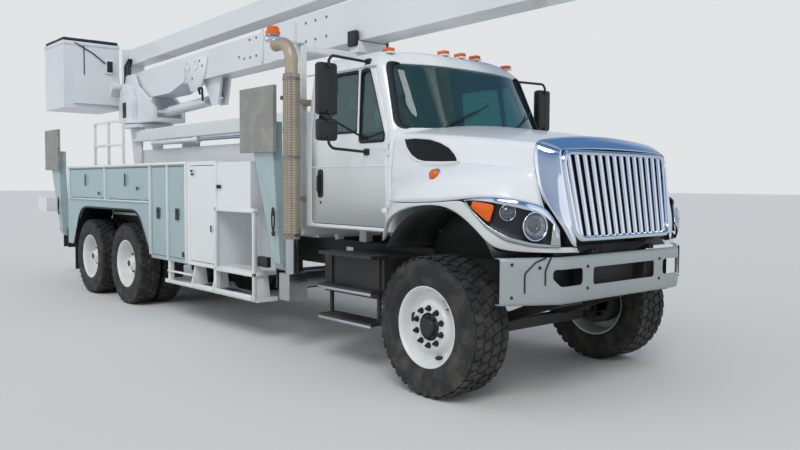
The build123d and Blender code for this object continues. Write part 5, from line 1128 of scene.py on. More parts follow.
def cab_block():
    """Closed cab skin: upright below the belt, leaning in above it, with a rounded, crowned roof."""
    half, corner, front, back = LOWER_PLAN
    loops = [(z, cab_plan(half - inset, corner - inset, front - inset, back + inset))
             for z, inset in ((CAB_FLOOR, 0.012), (CAB_FLOOR + 0.012, 0.0))]
    for height in (BELT, BELT + 0.02, EAVES):
        share = (height - BELT) / (EAVES - BELT)
        loops.append((height, cab_plan(*(a + (b - a) * share for a, b in zip(LOWER_PLAN, EAVES_PLAN)))))
    half, corner, front, back = EAVES_PLAN
    for step in range(1, ROOF_STEPS + 1):
        angle = radians(90 * step / ROOF_STEPS)
        inset, lean = ROOF_ROUND * (1 - cos(angle)), ROOF_LEAN * sin(angle)
        loops.append((EAVES + (ROOF_EDGE - EAVES) * sin(angle),
                      cab_plan(half - inset, corner - inset - lean, front - inset - lean, back + inset)))
    edge = loops[-1][1]
    for share in ROOF_SHARES:
        ring = [ROOF_CENTRE + (p - ROOF_CENTRE) * share for p in edge]
        loops.append((ROOF_EDGE + (ROOF_TOP - ROOF_EDGE) * (1 - share ** 2), ring))
    bm = bmesh.new()
    chains = add_bands(bm, [[(x_of(p.x), p.y, z) for p in ring] for z, ring in loops], closed=True)
    for chain in (chains[0], chains[-1]):
        bmesh.ops.holes_fill(bm, edges=chain, sides=len(chain))
    bmesh.ops.recalc_face_normals(bm, faces=bm.faces)
    return bm


def cut_outline(bm, outline, axis, region, keep_inside=False):
    """Cut a skin along a convex outline seen along an axis; drop what is inside it, or what is outside."""
    middle = sum(outline, Vector((0, 0))) / len(outline)
    planes = []
    for a, b in zip(outline, outline[1:] + outline[:1]):
        if (b - a).length < ON_PLANE:
            continue
        normal = outward_normal(a, b, middle)
        place = AXIS_MAPS[axis]
        planes.append((Vector(place(a.x, a.y, 0)), Vector(place(normal.x, normal.y, 0))))
    low = [min(p[i] for p in outline) - CUT_MARGIN for i in (0, 1)]
    high = [max(p[i] for p in outline) + CUT_MARGIN for i in (0, 1)]
    bounds = []
    for index in (0, 1):
        for limit in (low[index], high[index]):
            flat, across = [0, 0], [0, 0]
            flat[index], across[index] = limit, 1
            bounds.append((Vector(AXIS_MAPS[axis](*flat, 0)), Vector(AXIS_MAPS[axis](*across, 0))))

    def seen(point):
        flat = {"x": (point.y, point.z), "y": (point.x, point.z)}[axis]
        return all(low[i] <= flat[i] <= high[i] for i in (0, 1))

    for place, normal in bounds + planes:
        faces = [f for f in bm.faces if region(f.calc_center_median())]
        if (place, normal) in planes:
            faces = [f for f in faces if seen(f.calc_center_median())]
        edges = {e for f in faces for e in f.edges}
        verts = {v for f in faces for v in f.verts}
        slice_mesh(bm, [*faces, *edges, *verts], place, normal)
    gone = []
    for face in bm.faces:
        centre = face.calc_center_median()
        inside = region(centre) and all(n.dot(centre - p) <= 0 for p, n in planes)
        if inside != keep_inside:
            gone.append(face)
    bmesh.ops.delete(bm, geom=gone, context="FACES")


def grown_loop(loop, reach):
    """Rounded outline moved outwards from its middle."""
    middle = sum(loop, Vector((0, 0))) / len(loop)
    return [p + (p - middle).normalized() * reach for p in loop]


def on_side(side):
    """Test for places on one side of the cab."""
    return lambda point: side * point.y > SIDE_REGION


def in_front(point):
    """Whether a place is on the cab's front."""
    return point.x > x_of(FRONT_REGION)


def at_back(point):
    """Whether a place is on the cab's back."""
    return point.x < x_of(BACK_REGION)


CAB_SKIN = cab_block()
CAB_TREE = BVHTree.FromBMesh(CAB_SKIN)
WELL_OUTSIDE = 30


def on_skin(point, axis, proud=0.0):
    """Place on the cab's skin met along an axis from outside, stood off by a distance."""
    toward = Vector(AXIS_MAPS[axis[0]](0, 0, axis[1]))
    start = Vector(AXIS_MAPS[axis[0]](point[0], point[1], 0)) - toward * WELL_OUTSIDE
    hit, normal, _, _ = CAB_TREE.ray_cast(start, toward)
    if normal.dot(toward) > 0:
        normal = -normal
    return hit + normal * proud


def add_gasket(bm, outline, axis, inner, outer, proud):
    """Rubber frame on the skin round a rounded outline."""
    rows = ((outer, -0.004), (outer, proud * 0.7), ((inner + outer) / 2, proud), (inner, proud * 0.7),
            (inner, -0.018))
    add_bands(bm, [[on_skin(p, axis, rise) for p in grown_loop(outline, reach)] for reach, rise in rows],
              closed=True)


def skin_line(places, side, proud=0.0):
    """Places on the cab's side, given as (forward, up)."""
    return [on_skin(p, ("y", -side), proud) for p in from_axle(places)]


SCREEN_LOOP = rounded([Vector(p) for p in SCREEN_OUTLINE], 0.075)
REAR_LOOP = rounded([Vector(p) for p in REAR_WINDOW], 0.07)
PANE_LOOPS = [rounded(from_axle(outline), 0.045, 5) for outline in (VENT_OUTLINE, PANE_OUTLINE)]
DOOR_CORNERS = from_axle(DOOR_OUTLINE)
JAMB_LOOP = rounded(grown(DOOR_CORNERS, DOOR_GAP), 0.05, 4)
JAMB_SEAL = ((0.002, 0.006), (-0.022, 0.03), (-0.03, 0.045))  # reach from the jamb, depth into the cab

shell = CAB_SKIN.copy()
for side, _ in SIDES:
    cut_outline(shell, JAMB_LOOP, "y", on_side(side))
cut_outline(shell, SCREEN_LOOP, "x", in_front)
cut_outline(shell, REAR_LOOP, "x", at_back)
shell_piece = piece("cab_skin", shell, "chassis", WHITE, replaces=("cab_shell",), smooth_angle=40)
thicken(shell_piece, 0.03, lining=TRIM)

bm = bmesh.new()
add_gasket(bm, SCREEN_LOOP, ("x", -1), -0.012, 0.03, 0.01)
add_gasket(bm, REAR_LOOP, ("x", 1), -0.012, 0.028, 0.01)
for side, _ in SIDES:
    add_bands(bm, [[on_skin(p, ("y", -side), -sink) for p in grown_loop(JAMB_LOOP, reach)]
                   for reach, sink in JAMB_SEAL], closed=True)
piece("cab_gaskets", bm, "chassis", GASKET, smooth_angle=50)

# Door skins, windows, handles, locks and hinges
HANDLE = -1.865
HANDLE_PLATE = ((-1.905, 1.515), (-1.825, 1.515), (-1.825, 1.785), (-1.905, 1.785))
HANDLE_LEVER = ((1.008, 1.555), (1.036, 1.585), (1.036, 1.715), (1.008, 1.745))
DOOR_LOCK = ((0.996, 1.47), (1.006, 1.47))
HINGES, BELT_CREASE = (1.42, 1.96), 1.805
CAB_FLOOR_PLAN = ((-2.12, -0.95), (-0.9, -0.95), (-0.62, -0.42), (-0.62, 0.42), (-0.9, 0.95), (-2.12, 0.95))


def add_hinge_pin(bm, height, side, low, high):
    """Pin of a door hinge between two heights about its middle, and that middle."""
    pin = sided((-0.87, 1.01, height), side)
    add_rod(bm, pin + Vector((0, 0, low)), pin + Vector((0, 0, high)), 0.009, segments=14, width=0.001)
    return pin


for side, side_name in SIDES:
    door = CAB_SKIN.copy()
    cut_outline(door, rounded(DOOR_CORNERS, 0.045, 4), "y", on_side(side), keep_inside=True)
    for loop in PANE_LOOPS:
        cut_outline(door, loop, "y", on_side(side))
    body = f"cab_door_{side_name}"
    made = piece(f"{body}_skin", door, body, WHITE, replaces=(body,), smooth_angle=40)
    thicken(made, 0.034, lining=TRIM)

    bm = bmesh.new()
    for loop in PANE_LOOPS:
        add_gasket(bm, loop, ("y", -side), -0.01, 0.02, 0.006)
    piece(f"{body}_gaskets", bm, body, GASKET, smooth_angle=50)

    bm = bmesh.new()
    add_plate(bm, rounded(from_axle(HANDLE_PLATE), 0.036, 5), "y", side * 0.996, side * 1.012, 0.004)
    lever, lock = ([sided((HANDLE, *p), side) for p in places] for places in (HANDLE_LEVER, DOOR_LOCK))
    add_pipe(bm, lever, 0.012, bend=0.02, segments=12)
    add_rod(bm, *lock, 0.012, segments=16, width=0.002)
    piece(f"{body}_handle", bm, body, PLASTIC)

    bm = bmesh.new()
    for height in HINGES:
        pin = add_hinge_pin(bm, height, side, -0.0225, 0.0225)
        add_box(bm, pin + Vector((-0.075, -side * 0.01, -0.021)),
                pin + Vector((-0.004, -side * 0.004, 0.021)),
                0.002, 2)
    add_pipe(bm, skin_line([(f, BELT_CREASE) for f in (-0.885, -1.45, -2.005)], side), 0.006, segments=8)
    add_pipe(bm, skin_line(((-1.283, 2.02), (-1.336, 2.67)), side, 0.003), 0.012, segments=10)
    piece(f"{body}_fittings", bm, body, WHITE)

bm = bmesh.new()
for side, _ in SIDES:
    for height in HINGES:
        for low, high in ((-0.0675, -0.0234), (0.0234, 0.0675)):
            pin = add_hinge_pin(bm, height, side, low, high)
            add_box(bm, pin + Vector((0.003, -side * 0.012, low)), pin + Vector((0.025, -side * 0.003, high)),
                    0.002, 2)
    add_pipe(bm, skin_line([(f, BELT_CREASE) for f in (-0.826, -0.862)], side), 0.006, segments=8)
    add_boxes(bm, (((-2.165, 0.94, 2.69), (-1.1, 0.955, 2.706), 0.005, 2),), side)
for forward in (-0.7, -1.95):
    for side, _ in SIDES:
        add_boxes(bm, (((forward - 0.06, 0.335, 1.06), (forward + 0.06, 0.425, 1.25), 0.008),), side)
piece("cab_fittings", bm, "chassis", WHITE)

bm = bmesh.new()
add_plate(bm, from_axle(CAB_FLOOR_PLAN), "z", 1.262, 1.29, 0.004)
piece("cab_floor", bm, "chassis", TRIM)

# Curved windscreen and rear glass
bm = bmesh.new()
for loop, toward in ((SCREEN_LOOP, -1), (REAR_LOOP, 1)):
    pane = CAB_SKIN.copy()
    cut_outline(pane, grown_loop(loop, 0.01), "x", in_front if toward < 0 else at_back, keep_inside=True)
    shape = bpy.data.meshes.new("pane")
    bmesh.ops.translate(pane, vec=(toward * 0.014, 0, 0), verts=pane.verts)
    pane.to_mesh(shape)
    pane.free()
    bm.from_mesh(shape)
    bpy.data.meshes.remove(shape)
glass = piece("cab_panes", bm, "chassis", GLASS, replaces=("cab_glass",), smooth_angle=60)
thicken(glass, 0.006)

# Roof lamps and wipers
ROOF_LAMPS = ((-0.78, -1.13), (-0.21, -1.02), (0.0, -1.01), (0.21, -1.02), (0.78, -1.13))
bases, caps = bmesh.new(), bmesh.new()
for across, forward in ROOF_LAMPS:
    hit = CAB_TREE.ray_cast(Vector((x_of(forward), across, 4)), Vector((0, 0, -1)))[0]
    for bm, low, high, width in ((bases, -0.004, 0.012, 0.006), (caps, 0.01, 0.046, 0.016)):
        reach = 0.062 if bm is bases else 0.054
        add_box(bm, hit + Vector((-reach, -0.036, low)), hit + Vector((reach, 0.036, high)), width, 4)
piece("roof_lamp_bases", bases, "chassis", WHITE)
piece("roof_lamp_lenses", caps, "chassis", AMBER, smooth_angle=50)

bm = bmesh.new()
for foot, tip in ((-0.62, 0.02), (0.2, 0.82)):
    span = tip - foot
    places, blade = ([on_skin((a, b), ("x", -1), proud) for a, b, proud in line] for line in (
        ((foot, 2.105, 0.02), (foot + span * 0.12, 2.15, 0.032), (tip - span * 0.35, 2.285, 0.026)),
        ((tip - span * 0.85, 2.17, 0.012), (tip - span * 0.35, 2.278, 0.012), (tip, 2.372, 0.012)),
    ))
    add_pipe(bm, places, 0.007, bend=0.05, segments=8)
    add_pipe(bm, blade, 0.008, segments=6)
    add_rod(bm, places[0] - Vector((0.03, 0, 0.02)), places[0] + Vector((0.012, 0, 0.01)), 0.016, segments=14,
            width=0.003)
piece("wipers", bm, "chassis", PLASTIC)

# Mirrors on their tube loops
MIRROR_LOOP = ((-1.243, 0.915, 2.735), (-1.136, 1.395, 2.728), (-1.136, 1.43, 2.69), (-1.136, 1.43, 1.985),
               (-1.12, 1.4, 1.948), (-1.16, 1.005, 1.93))
MIRROR_FEET = ((-1.243, 0.925, 2.735), (-1.16, 1.004, 1.93), (-1.205, 0.985, 2.05))
MIRROR_CLAMPS = (2.25, 2.64, 2.04, 2.175)
MIRROR_HEADS = (
    # bottom, top, rear, front
    (2.23, 2.668, -1.218, -1.128), (2.012, 2.198, -1.212, -1.122),
)
for side, side_name in SIDES:
    body = f"cab_door_{side_name}"
    bm = bmesh.new()
    add_pipe(bm, [sided(p, side) for p in MIRROR_LOOP], 0.0125, bend=0.05, segments=14)
    add_pipe(bm, [sided(p, side) for p in ((-1.205, 0.99, 2.05), (-1.15, 1.415, 2.205))], 0.009, segments=10)
    add_boxes(bm, [((f - 0.035, o - 0.02, u - 0.03), (f + 0.035, o + 0.012, u + 0.03), 0.008, 3)
                   for f, o, u in MIRROR_FEET], side)
    add_boxes(bm, [((-1.16, 1.405, u - 0.018), (-1.112, 1.455, u + 0.018), 0.006) for u in MIRROR_CLAMPS],
              side)
    piece(f"mirror_arms_{side_name}", bm, body, PLASTIC, replaces=(f"mirror_{side_name}",))
    heads, faces = bmesh.new(), bmesh.new()
    for bottom, top, rear, front in MIRROR_HEADS:
        add_boxes(heads, (((rear, 1.335, bottom), (front, 1.528, top), 0.03, 5),), side)
        glass = (rear - 0.004, 1.35, bottom + 0.016), (rear + 0.002, 1.513, top - 0.016), 0.002, 2
        add_boxes(faces, (glass,), side)
    piece(f"mirror_heads_{side_name}", heads, body, PLASTIC, smooth_angle=50)
    piece(f"mirror_faces_{side_name}", faces, body, CHROME)

# Seats, dash and steering wheel
DASH = ((-0.86, 1.29), (-1.06, 1.66), (-1.1, 1.86), (-1.04, 1.965), (-0.88, 2.01), (-0.84, 1.99))
DASH_HOOD = ((-1.08, 1.9), (-1.16, 1.93), (-1.1, 2.005), (-1.0, 2.005))
for side, side_name in SIDES:
    bm = bmesh.new()
    add_boxes(bm, (((-1.93, 0.25, 1.29), (-1.45, 0.71, 1.545), 0.03, 3),), side)
    piece(f"seat_base_{side_name}", bm, "chassis", PLASTIC, "cab_trim", ("cab_interior",))
    for name, low, high, lean in (
        ("cushion", (-1.93, 0.235, 1.548), (-1.435, 0.725, 1.69), 0),
        ("back", (-2.03, 0.25, 1.7), (-1.91, 0.71, 2.395), 7),
    ):
        bm = bmesh.new()
        bmesh.ops.create_cube(bm, size=1.0)
        bmesh.ops.subdivide_edges(bm, edges=bm.edges, cuts=5, use_grid_fill=True)
        first, last = sided(low, side), sided(high, side)
        size = Vector([abs(a) for a in last - first])
        for vert in bm.verts:
            x, y, z = vert.co * 2
            crown = (1 - x * x) * (1 - y * y) * (1 - z * z)
            pull = 1 - 0.06 * (1 - abs(x * y * z))
            vert.co = Vector((x, y, z)) * pull / 2
            vert.co += vert.co.normalized() * 0.02 * ((1 - y * y) + crown)
        bmesh.ops.scale(bm, vec=size, verts=bm.verts)
        bmesh.ops.rotate(bm, cent=(0, 0, 0), matrix=Matrix.Rotation(radians(-lean), 3, "Y"), verts=bm.verts)
        bmesh.ops.translate(bm, vec=(first + last) / 2, verts=bm.verts)
        pad = piece(f"seat_{name}_{side_name}", bm, "chassis", SEAT, levels=1)
bm = bmesh.new()
add_plate(bm, from_axle(DASH), "y", -0.88, 0.88, 0.03, 4)
add_plate(bm, from_axle(DASH_HOOD), "y", 0.24, 0.72, 0.02, 3)
piece("dash", bm, "chassis", TRIM)
bm = bmesh.new()
wheel_axis = Vector((-0.85, 0, 0.5)).normalized()
wheel_hub = Vector((x_of(-1.165), 0.48, 2.035))
turns = [2 * pi * step / 10 for step in range(10)]
ring = [(0.018 * sin(turn), 0.212 + 0.018 * cos(turn)) for turn in turns]
add_lathe(bm, ring, wheel_hub, wheel_axis, 48, closed=True)
across = Vector((0, 1, 0))
upward = wheel_axis.cross(across)
for spoke in (0, 120, 240):
    out = across * sin(radians(spoke)) + upward * cos(radians(spoke))
    add_rod(bm, wheel_hub - wheel_axis * 0.02, wheel_hub + out * 0.205, 0.014, 0.01, segments=10)
add_rod(bm, wheel_hub - wheel_axis * 0.05, wheel_hub + wheel_axis * 0.008, 0.05, 0.035, width=0.006)
add_rod(bm, (x_of(-1.03), 0.48, 1.88), wheel_hub - wheel_axis * 0.04, 0.03)
piece("steering_wheel", bm, "chassis", PLASTIC, "cab_trim")


# Bumper: a rounded channel swept back at its ends, its openings cut through

BUMPER_FRONT, BUMPER_FLAT, BUMPER_END, BUMPER_SWEEP = 0.822, 0.766, 1.18, 0.225
BUMPER_PROFILE = (
    # back from the face, up
    (0.045, 0.795), (0.02, 0.793), (0.006, 0.799), (0.0, 0.814), (0.0, 0.88), (0.0, 0.96), (0.0, 1.04),
    (0.0, 1.106), (0.006, 1.121), (0.02, 1.127), (0.045, 1.125),
)
BUMPER_STATIONS = (-1, -0.992, -0.97, -0.9, -0.83, -0.76, -0.7, -0.655, -0.61, -0.4, -0.2)
BUMPER_SLOT = ((-0.418, 0.908), (0.418, 0.908), (0.418, 1.04), (-0.418, 1.04))
BUMPER_HOLE = ((0.544, 0.918), (0.79, 0.918), (0.848, 0.975), (0.848, 1.044), (0.544, 1.044))
BUMPER_BOLTS = ((0.49, 1.051), (0.49, 0.889), (0.94, 1.06), (1.12, 1.085), (1.12, 0.85))


def bumper_back(across):
    """How far the bumper's face is swept back at a distance from the middle."""
    share = max(0.0, (abs(across) - BUMPER_FLAT) / (BUMPER_END - BUMPER_FLAT))
    return BUMPER_SWEEP * share ** 1.12


def on_bumper(across, up, proud):
    """Place on the bumper's face, stood off forwards by a distance."""
    return x_of(BUMPER_FRONT - bumper_back(across) + proud), across, up


def on_face(point):
    """Whether a place lies on the bumper's flat face."""
    return 0.815 < point.z < 1.105


bm = bmesh.new()
stations = [BUMPER_END * share for share in BUMPER_STATIONS]
loops = []
for across in stations + [0.0] + [-station for station in reversed(stations)]:
    tuck = 0.02 * max(0.0, (abs(across) / BUMPER_END - 0.97) / 0.03) ** 2
    loops.append([on_bumper(across, up, -back - tuck) for back, up in BUMPER_PROFILE])
add_bands(bm, loops)
bmesh.ops.recalc_face_normals(bm, faces=bm.faces)

for side in (RIGHT, LEFT):
    cut_outline(bm, rounded([(side * a, b) for a, b in BUMPER_HOLE], 0.038, 5), "x", on_face)
cut_outline(bm, rounded(BUMPER_SLOT, 0.028, 5), "x", on_face)
bumper = piece("bumper_skin", bm, "chassis", BUMPER, replaces=("front_bumper",), smooth_angle=50)
thicken(bumper, 0.008, 0.0)

BUMPER_CABLES = (
    # across and up
    ((1.04, 0.88), (1.04, 1.02), (0.97, 1.1), (0.9, 1.133)),
    ((0.905, 0.935), (0.905, 1.04), (0.868, 1.133)),
)
BUMPER_STAYS = (
    # low corner, high corner, edge rounding
    ((0.56, 0.36, 0.8), (0.77, 0.44, 1.11), 0.006), ((0.64, 0.68, 0.772), (0.76, 0.75, 0.802), 0.008),
    ((0.6, 0.0, 0.95), (0.615, 0.62, 1.185), 0.003),
)
CAB_STEPS, STEP_TEETH, TOOTH_PITCH = (0.704, 0.424), 16, 0.048
lined, dark, trim = bmesh.new(), bmesh.new(), bmesh.new()
add_boxes(dark, (((0.64, -0.9, 0.85), (0.655, 0.9, 1.09), 0.004),))
for side in (RIGHT, LEFT):
    add_bolts(dark, [on_bumper(side * a, b, 0.002) for a, b in BUMPER_BOLTS], (1, 0, 0), 0.013, 0.008)
    add_boxes(lined, BUMPER_STAYS, side)
    for run in BUMPER_CABLES:
        add_pipe(dark, [on_bumper(side * a, b, 0.008) for a, b in run], 0.006, bend=0.05, segments=8)
    for up in CAB_STEPS:
        add_boxes(trim, (((-1.7, 1.139, up - 0.02), (-0.92, 1.146, up + 0.004), 0.002),), side)
        for tooth in range(STEP_TEETH):
            start = sided((-1.69 + tooth * TOOTH_PITCH, 0.96, up), side)
            add_box(trim, start, start + Vector((0.02, side * 0.175, 0.005)))
piece("bumper_dark", dark, "chassis", PLASTIC)
piece("bumper_stays", lined, "chassis", BLACK)
piece("cab_step_trim", trim, "chassis", BRUSHED, "tank_metal")

# Wheel arch liners and fender lamps

LINER_HEIGHT, LINER_RADIUS, LINER_ANGLES = 0.905, 0.655, [radians(angle) for angle in range(22, 166, 8)]
LINER_ROWS = ((1.15, None), (0.64, None), (0.61, None), (0.6, 1.04))  # how far out, height where it is level
LAMP_PROFILE = ((0.004, 0.0), (0.004, 0.046), (0.018, 0.044), (0.034, 0.032), (0.042, 0.0))
LAMP_RIM_PROFILE = ((-0.012, 0.0), (-0.012, 0.055), (0.004, 0.056), (0.008, 0.05), (0.008, 0.0))
for side, side_name in SIDES:
    bm = bmesh.new()
    add_bands(bm, [[sided((FRONT_AXLE - LINER_RADIUS * cos(angle) * 0.98, outward,
                           level or LINER_HEIGHT + LINER_RADIUS * sin(angle) * 0.86), side)
                    for angle in LINER_ANGLES] for outward, level in LINER_ROWS])
    liner = piece(f"arch_liner_{side_name}", bm, "hood", PLASTIC, "chassis_black", smooth_angle=60)
    thicken(liner, 0.006, 0.0)

    lamp, rim = bmesh.new(), bmesh.new()
    place = sided((-0.15, 1.128, 1.722), side)
    out = Vector((0, side * 0.86, 0.5)).normalized()
    add_lathe(lamp, LAMP_PROFILE, place, out, 24)
    add_lathe(rim, LAMP_RIM_PROFILE, place, out, 24)
    piece(f"fender_lamp_{side_name}", lamp, "hood", AMBER, smooth_angle=60)
    piece(f"fender_lamp_rim_{side_name}", rim, "hood", CHROME)


# Utility body: rails, latches, edging, steps and flaps

BODY_BOXES = (
    # group, its paint, low and high corners: forwards, outwards, up
    ("rails", WHITE, (
        ((-8.45, 1.205, 1.868), (-4.25, 1.246, 1.898)),
        ((-8.34, 1.216, 1.396), (-5.32, 1.244, 1.41)),
        ((-8.345, 1.216, 1.396), (-8.33, 1.244, 1.868)),
        ((-6.846, 1.216, 1.4), (-6.832, 1.244, 1.868)),
        ((-5.296, 1.216, 0.745), (-5.28, 1.244, 1.868)),
        ((-4.777, 1.216, 0.705), (-4.76, 1.246, 1.868)),
        ((-4.276, 1.216, 0.705), (-4.254, 1.247, 1.89)),
        ((-3.545, 1.215, 0.705), (-3.515, 1.246, 1.885)),
        ((-2.735, 1.215, 0.44), (-2.705, 1.246, 1.36)),
        ((-3.54, 1.19, 1.345), (-2.705, 1.246, 1.39)),
        ((-3.54, 1.19, 0.69), (-2.705, 1.246, 0.73)),
        ((-4.78, 1.205, 0.57), (-4.12, 1.236, 0.592)),
    )),
    ("treads", WHITE, (
        ((-4.78, 1.06, 0.446), (-4.13, 1.236, 0.474)),
        ((-4.11, 1.03, 0.446), (-3.62, 1.24, 0.474)),
        ((-3.57, 1.03, 0.446), (-2.76, 1.24, 0.474)),
        ((-4.11, 1.216, 0.446), (-3.62, 1.243, 0.496)),
        ((-3.57, 1.216, 0.446), (-2.76, 1.243, 0.496)),
    )),
    ("black", PLASTIC, (
        ((-8.204, 0.62, 0.3), (-8.19, 1.205, 0.985)),
        ((-2.705, 1.15, 0.8), (-2.52, 1.2, 0.905)),
        ((-3.492, 1.226, 1.59), (-3.468, 1.246, 1.63)),
        ((-3.442, 1.226, 1.59), (-3.418, 1.246, 1.63)),
    )),
)
DOOR_FITTINGS = {
    # door, low and high corners of its black fittings
    "bay_door": (
        ((-5.073, 1.236, 1.205), (-4.997, 1.243, 1.345)),
        ((-5.05, 1.24, 1.29), (-5.02, 1.25, 1.32)),
    ),
    "cabinet_door": (
        ((-4.12, 1.236, 1.775), (-4.08, 1.246, 1.8)),
        ((-4.1, 1.236, 1.735), (-4.06, 1.248, 1.765)),
        ((-3.64, 1.236, 1.105), (-3.62, 1.248, 1.18)),
    ),
    "front_bay_door": (
        ((-4.538, 1.236, 1.205), (-4.462, 1.243, 1.345)),
        ((-4.515, 1.24, 1.29), (-4.485, 1.25, 1.32)),
        ((-4.36, 1.236, 0.775), (-4.305, 1.244, 0.835)),
    ),
    "middle_bin_door": (
        ((-6.089, 1.236, 1.6), (-6.061, 1.249, 1.77)),
        ((-5.7, 1.236, 1.555), (-5.65, 1.246, 1.595)),
    ),
    "rear_bin_door": (
        ((-7.614, 1.236, 1.6), (-7.586, 1.249, 1.77)),
        ((-7.085, 1.236, 1.475), (-7.035, 1.246, 1.515)),
    ),
}
BRACKETS = (-4.125, -3.605, -2.735)
BRACKET_OUTLINE = ((1.06, 0.7), (1.19, 0.7), (1.24, 0.48), (1.24, 0.44), (1.03, 0.44))
TREAD_STARTS, TREAD_BARS, TREAD_PITCH = (-3.56, -4.1), 6, 0.12
ARCH_EDGE = ((-5.29, 0.712), (-5.7, 1.285), (-7.86, 1.285), (-8.175, 0.712))
ARCH_ROUND = 0.42
# Thin black sheet behind the wheels, standing in for the shade under the body seen through the arch: painted
# shade.
ARCH_SHADE_SHEET = ((-5.46, 0.95), (-5.7, 1.283), (-7.86, 1.283), (-8.04, 0.95))  # behind the wheels
ARCH_SHADE_SHEET_INNER, ARCH_SHADE_SHEET_OUTER = 0.7, 0.706

for side, side_name in SIDES:
    meshes = {group: bmesh.new() for group, _, _ in BODY_BOXES}
    for group, _, rows in BODY_BOXES:
        add_boxes(meshes[group], [(*corners, 0.004) for corners in rows], side)
    for forward in BRACKETS:
        add_plate(meshes["treads"], [(side * outward, up) for outward, up in BRACKET_OUTLINE], "x",
                  x_of(forward - 0.012), x_of(forward + 0.012), 0.004)
    for start in TREAD_STARTS:
        for bar in range(TREAD_BARS):
            low = sided((start + 0.09 + bar * TREAD_PITCH, 1.04, 0.474), side)
            add_box(meshes["black"], low, low + Vector((0.06, side * 0.165, 0.004)))
    # black sheet behind the wheels: painted shade under the body
    add_plate(meshes["black"], from_axle(ARCH_SHADE_SHEET), "y", side * ARCH_SHADE_SHEET_INNER, side * ARCH_SHADE_SHEET_OUTER)
    arch = rounded(ARCH_EDGE, (0.001, ARCH_ROUND, ARCH_ROUND, 0.001), 8)
    add_pipe(meshes["black"], [sided((p.x, 1.221, p.y), side) for p in arch], 0.013, segments=8)
    corners = bmesh.new()
    for corner in map(Vector, ARCH_EDGE[1:3]):
        curve = sorted((p for p in arch if (p - corner).length < ARCH_ROUND), key=lambda p: p.x)
        add_plate(corners, from_axle([(corner.x, corner.y + 0.004), *curve]), "y", side * 1.196,
                  side * 1.2195)
    # Arch corners in the shaded body colour: painted shade.
    piece(f"arch_corners_{side_name}", corners, "chassis", SHADED_BODY)
    for door, rows in DOOR_FITTINGS.items():
        bm = bmesh.new()
        add_boxes(bm, [(*corners, 0.008, 3) for corners in rows], side)
        body = f"{door}_{side_name}" if f"{door}_{side_name}" in BODY_OF else "chassis"
        piece(f"{door}_fittings_{side_name}", bm, body, PLASTIC)
    for group, paint, _ in BODY_BOXES:
        piece(f"body_{group}_{side_name}", meshes[group], "chassis", paint)

# Tail lamps on the shelf's rear edge

TAIL_PROFILE = ((0.0, 0.0), (0.0, 0.046), (0.006, 0.044), (0.009, 0.03), (0.01, 0.0))
TAIL_RIM_PROFILE = ((-0.004, 0.0), (-0.004, 0.056), (0.003, 0.056), (0.004, 0.048), (0.002, 0.046))
bm, rims = bmesh.new(), bmesh.new()
for side, _ in SIDES:
    for outward in (0.82, 0.96, 1.1):
        place = sided((-10.028, outward, 1.275), side)
        add_lathe(bm, TAIL_PROFILE, place, (-1, 0, 0), 24)
        add_lathe(rims, TAIL_RIM_PROFILE, place, (-1, 0, 0), 24)
piece("tail_lamps", bm, "chassis", RED, smooth_angle=50)
piece("tail_lamp_rims", rims, "chassis", PLASTIC)

bm = bmesh.new()
for side, _ in SIDES:
    add_boxes(bm, (((-2.47, 0.18, 3.105), (-2.33, 0.235, 3.27), 0.012, 3),), side)
piece("rest_pads", bm, "chassis", PLASTIC)

# Exhaust stack, beacon and its bracket

SHIELD_PROFILE = ((1.112, 0.066), (1.112, 0.082), (2.698, 0.082), (2.698, 0.066))
CLAMP_PROFILE = ((-0.014, 0.079), (-0.014, 0.086), (0.014, 0.086), (0.014, 0.079))
bm = bmesh.new()
add_lathe(bm, SHIELD_PROFILE, STACK_PLACE, (0, 0, 1), 40)
piece("stack_shield", bm, "chassis", SHIELD, smooth_angle=50)
bm = bmesh.new()
for height in (1.15, 1.9, 2.65):
    add_lathe(bm, CLAMP_PROFILE, STACK_PLACE + Vector((0, 0, height)), (0, 0, 1), 40)
for height in (1.3, 2.5):
    foot = STACK_PLACE + Vector((0, 0, height))
    add_box(bm, foot + Vector((-0.3, 0.06, -0.02)), foot + Vector((-0.05, 0.085, 0.02)), 0.004)
piece("stack_clamps", bm, "chassis", STEEL, "stack_steel")

BEACON = sided((-2.47, -1.15, 3.085))
BEACON_BASE = ((-0.024, 0.0), (-0.024, 0.085), (0.0, 0.088), (0.012, 0.078), (0.024, 0.072), (0.024, 0.0))
BEACON_LENS = ((0.024, 0.0), (0.024, 0.07), (0.06, 0.072), (0.068, 0.064), (0.1, 0.06), (0.112, 0.048),
               (0.116, 0.0))
BEACON_SHELF = (
    # low corner, high corner, edge rounding
    ((-2.53, -1.2, 3.045), (-2.36, -0.84, 3.062), 0.004), ((-2.5, -0.86, 2.96), (-2.38, -0.845, 3.06), 0.004),
)
bm = bmesh.new()
add_boxes(bm, BEACON_SHELF)
add_lathe(bm, BEACON_BASE, BEACON, (0, 0, 1), 40)
piece("beacon_base", bm, "chassis", CHROME)
bm = bmesh.new()
add_lathe(bm, BEACON_LENS, BEACON, (0, 0, 1), 40)
piece("beacon_lens", bm, "chassis", AMBER, smooth_angle=40)

# Outrigger legs: hand rings and foot clevis bolts

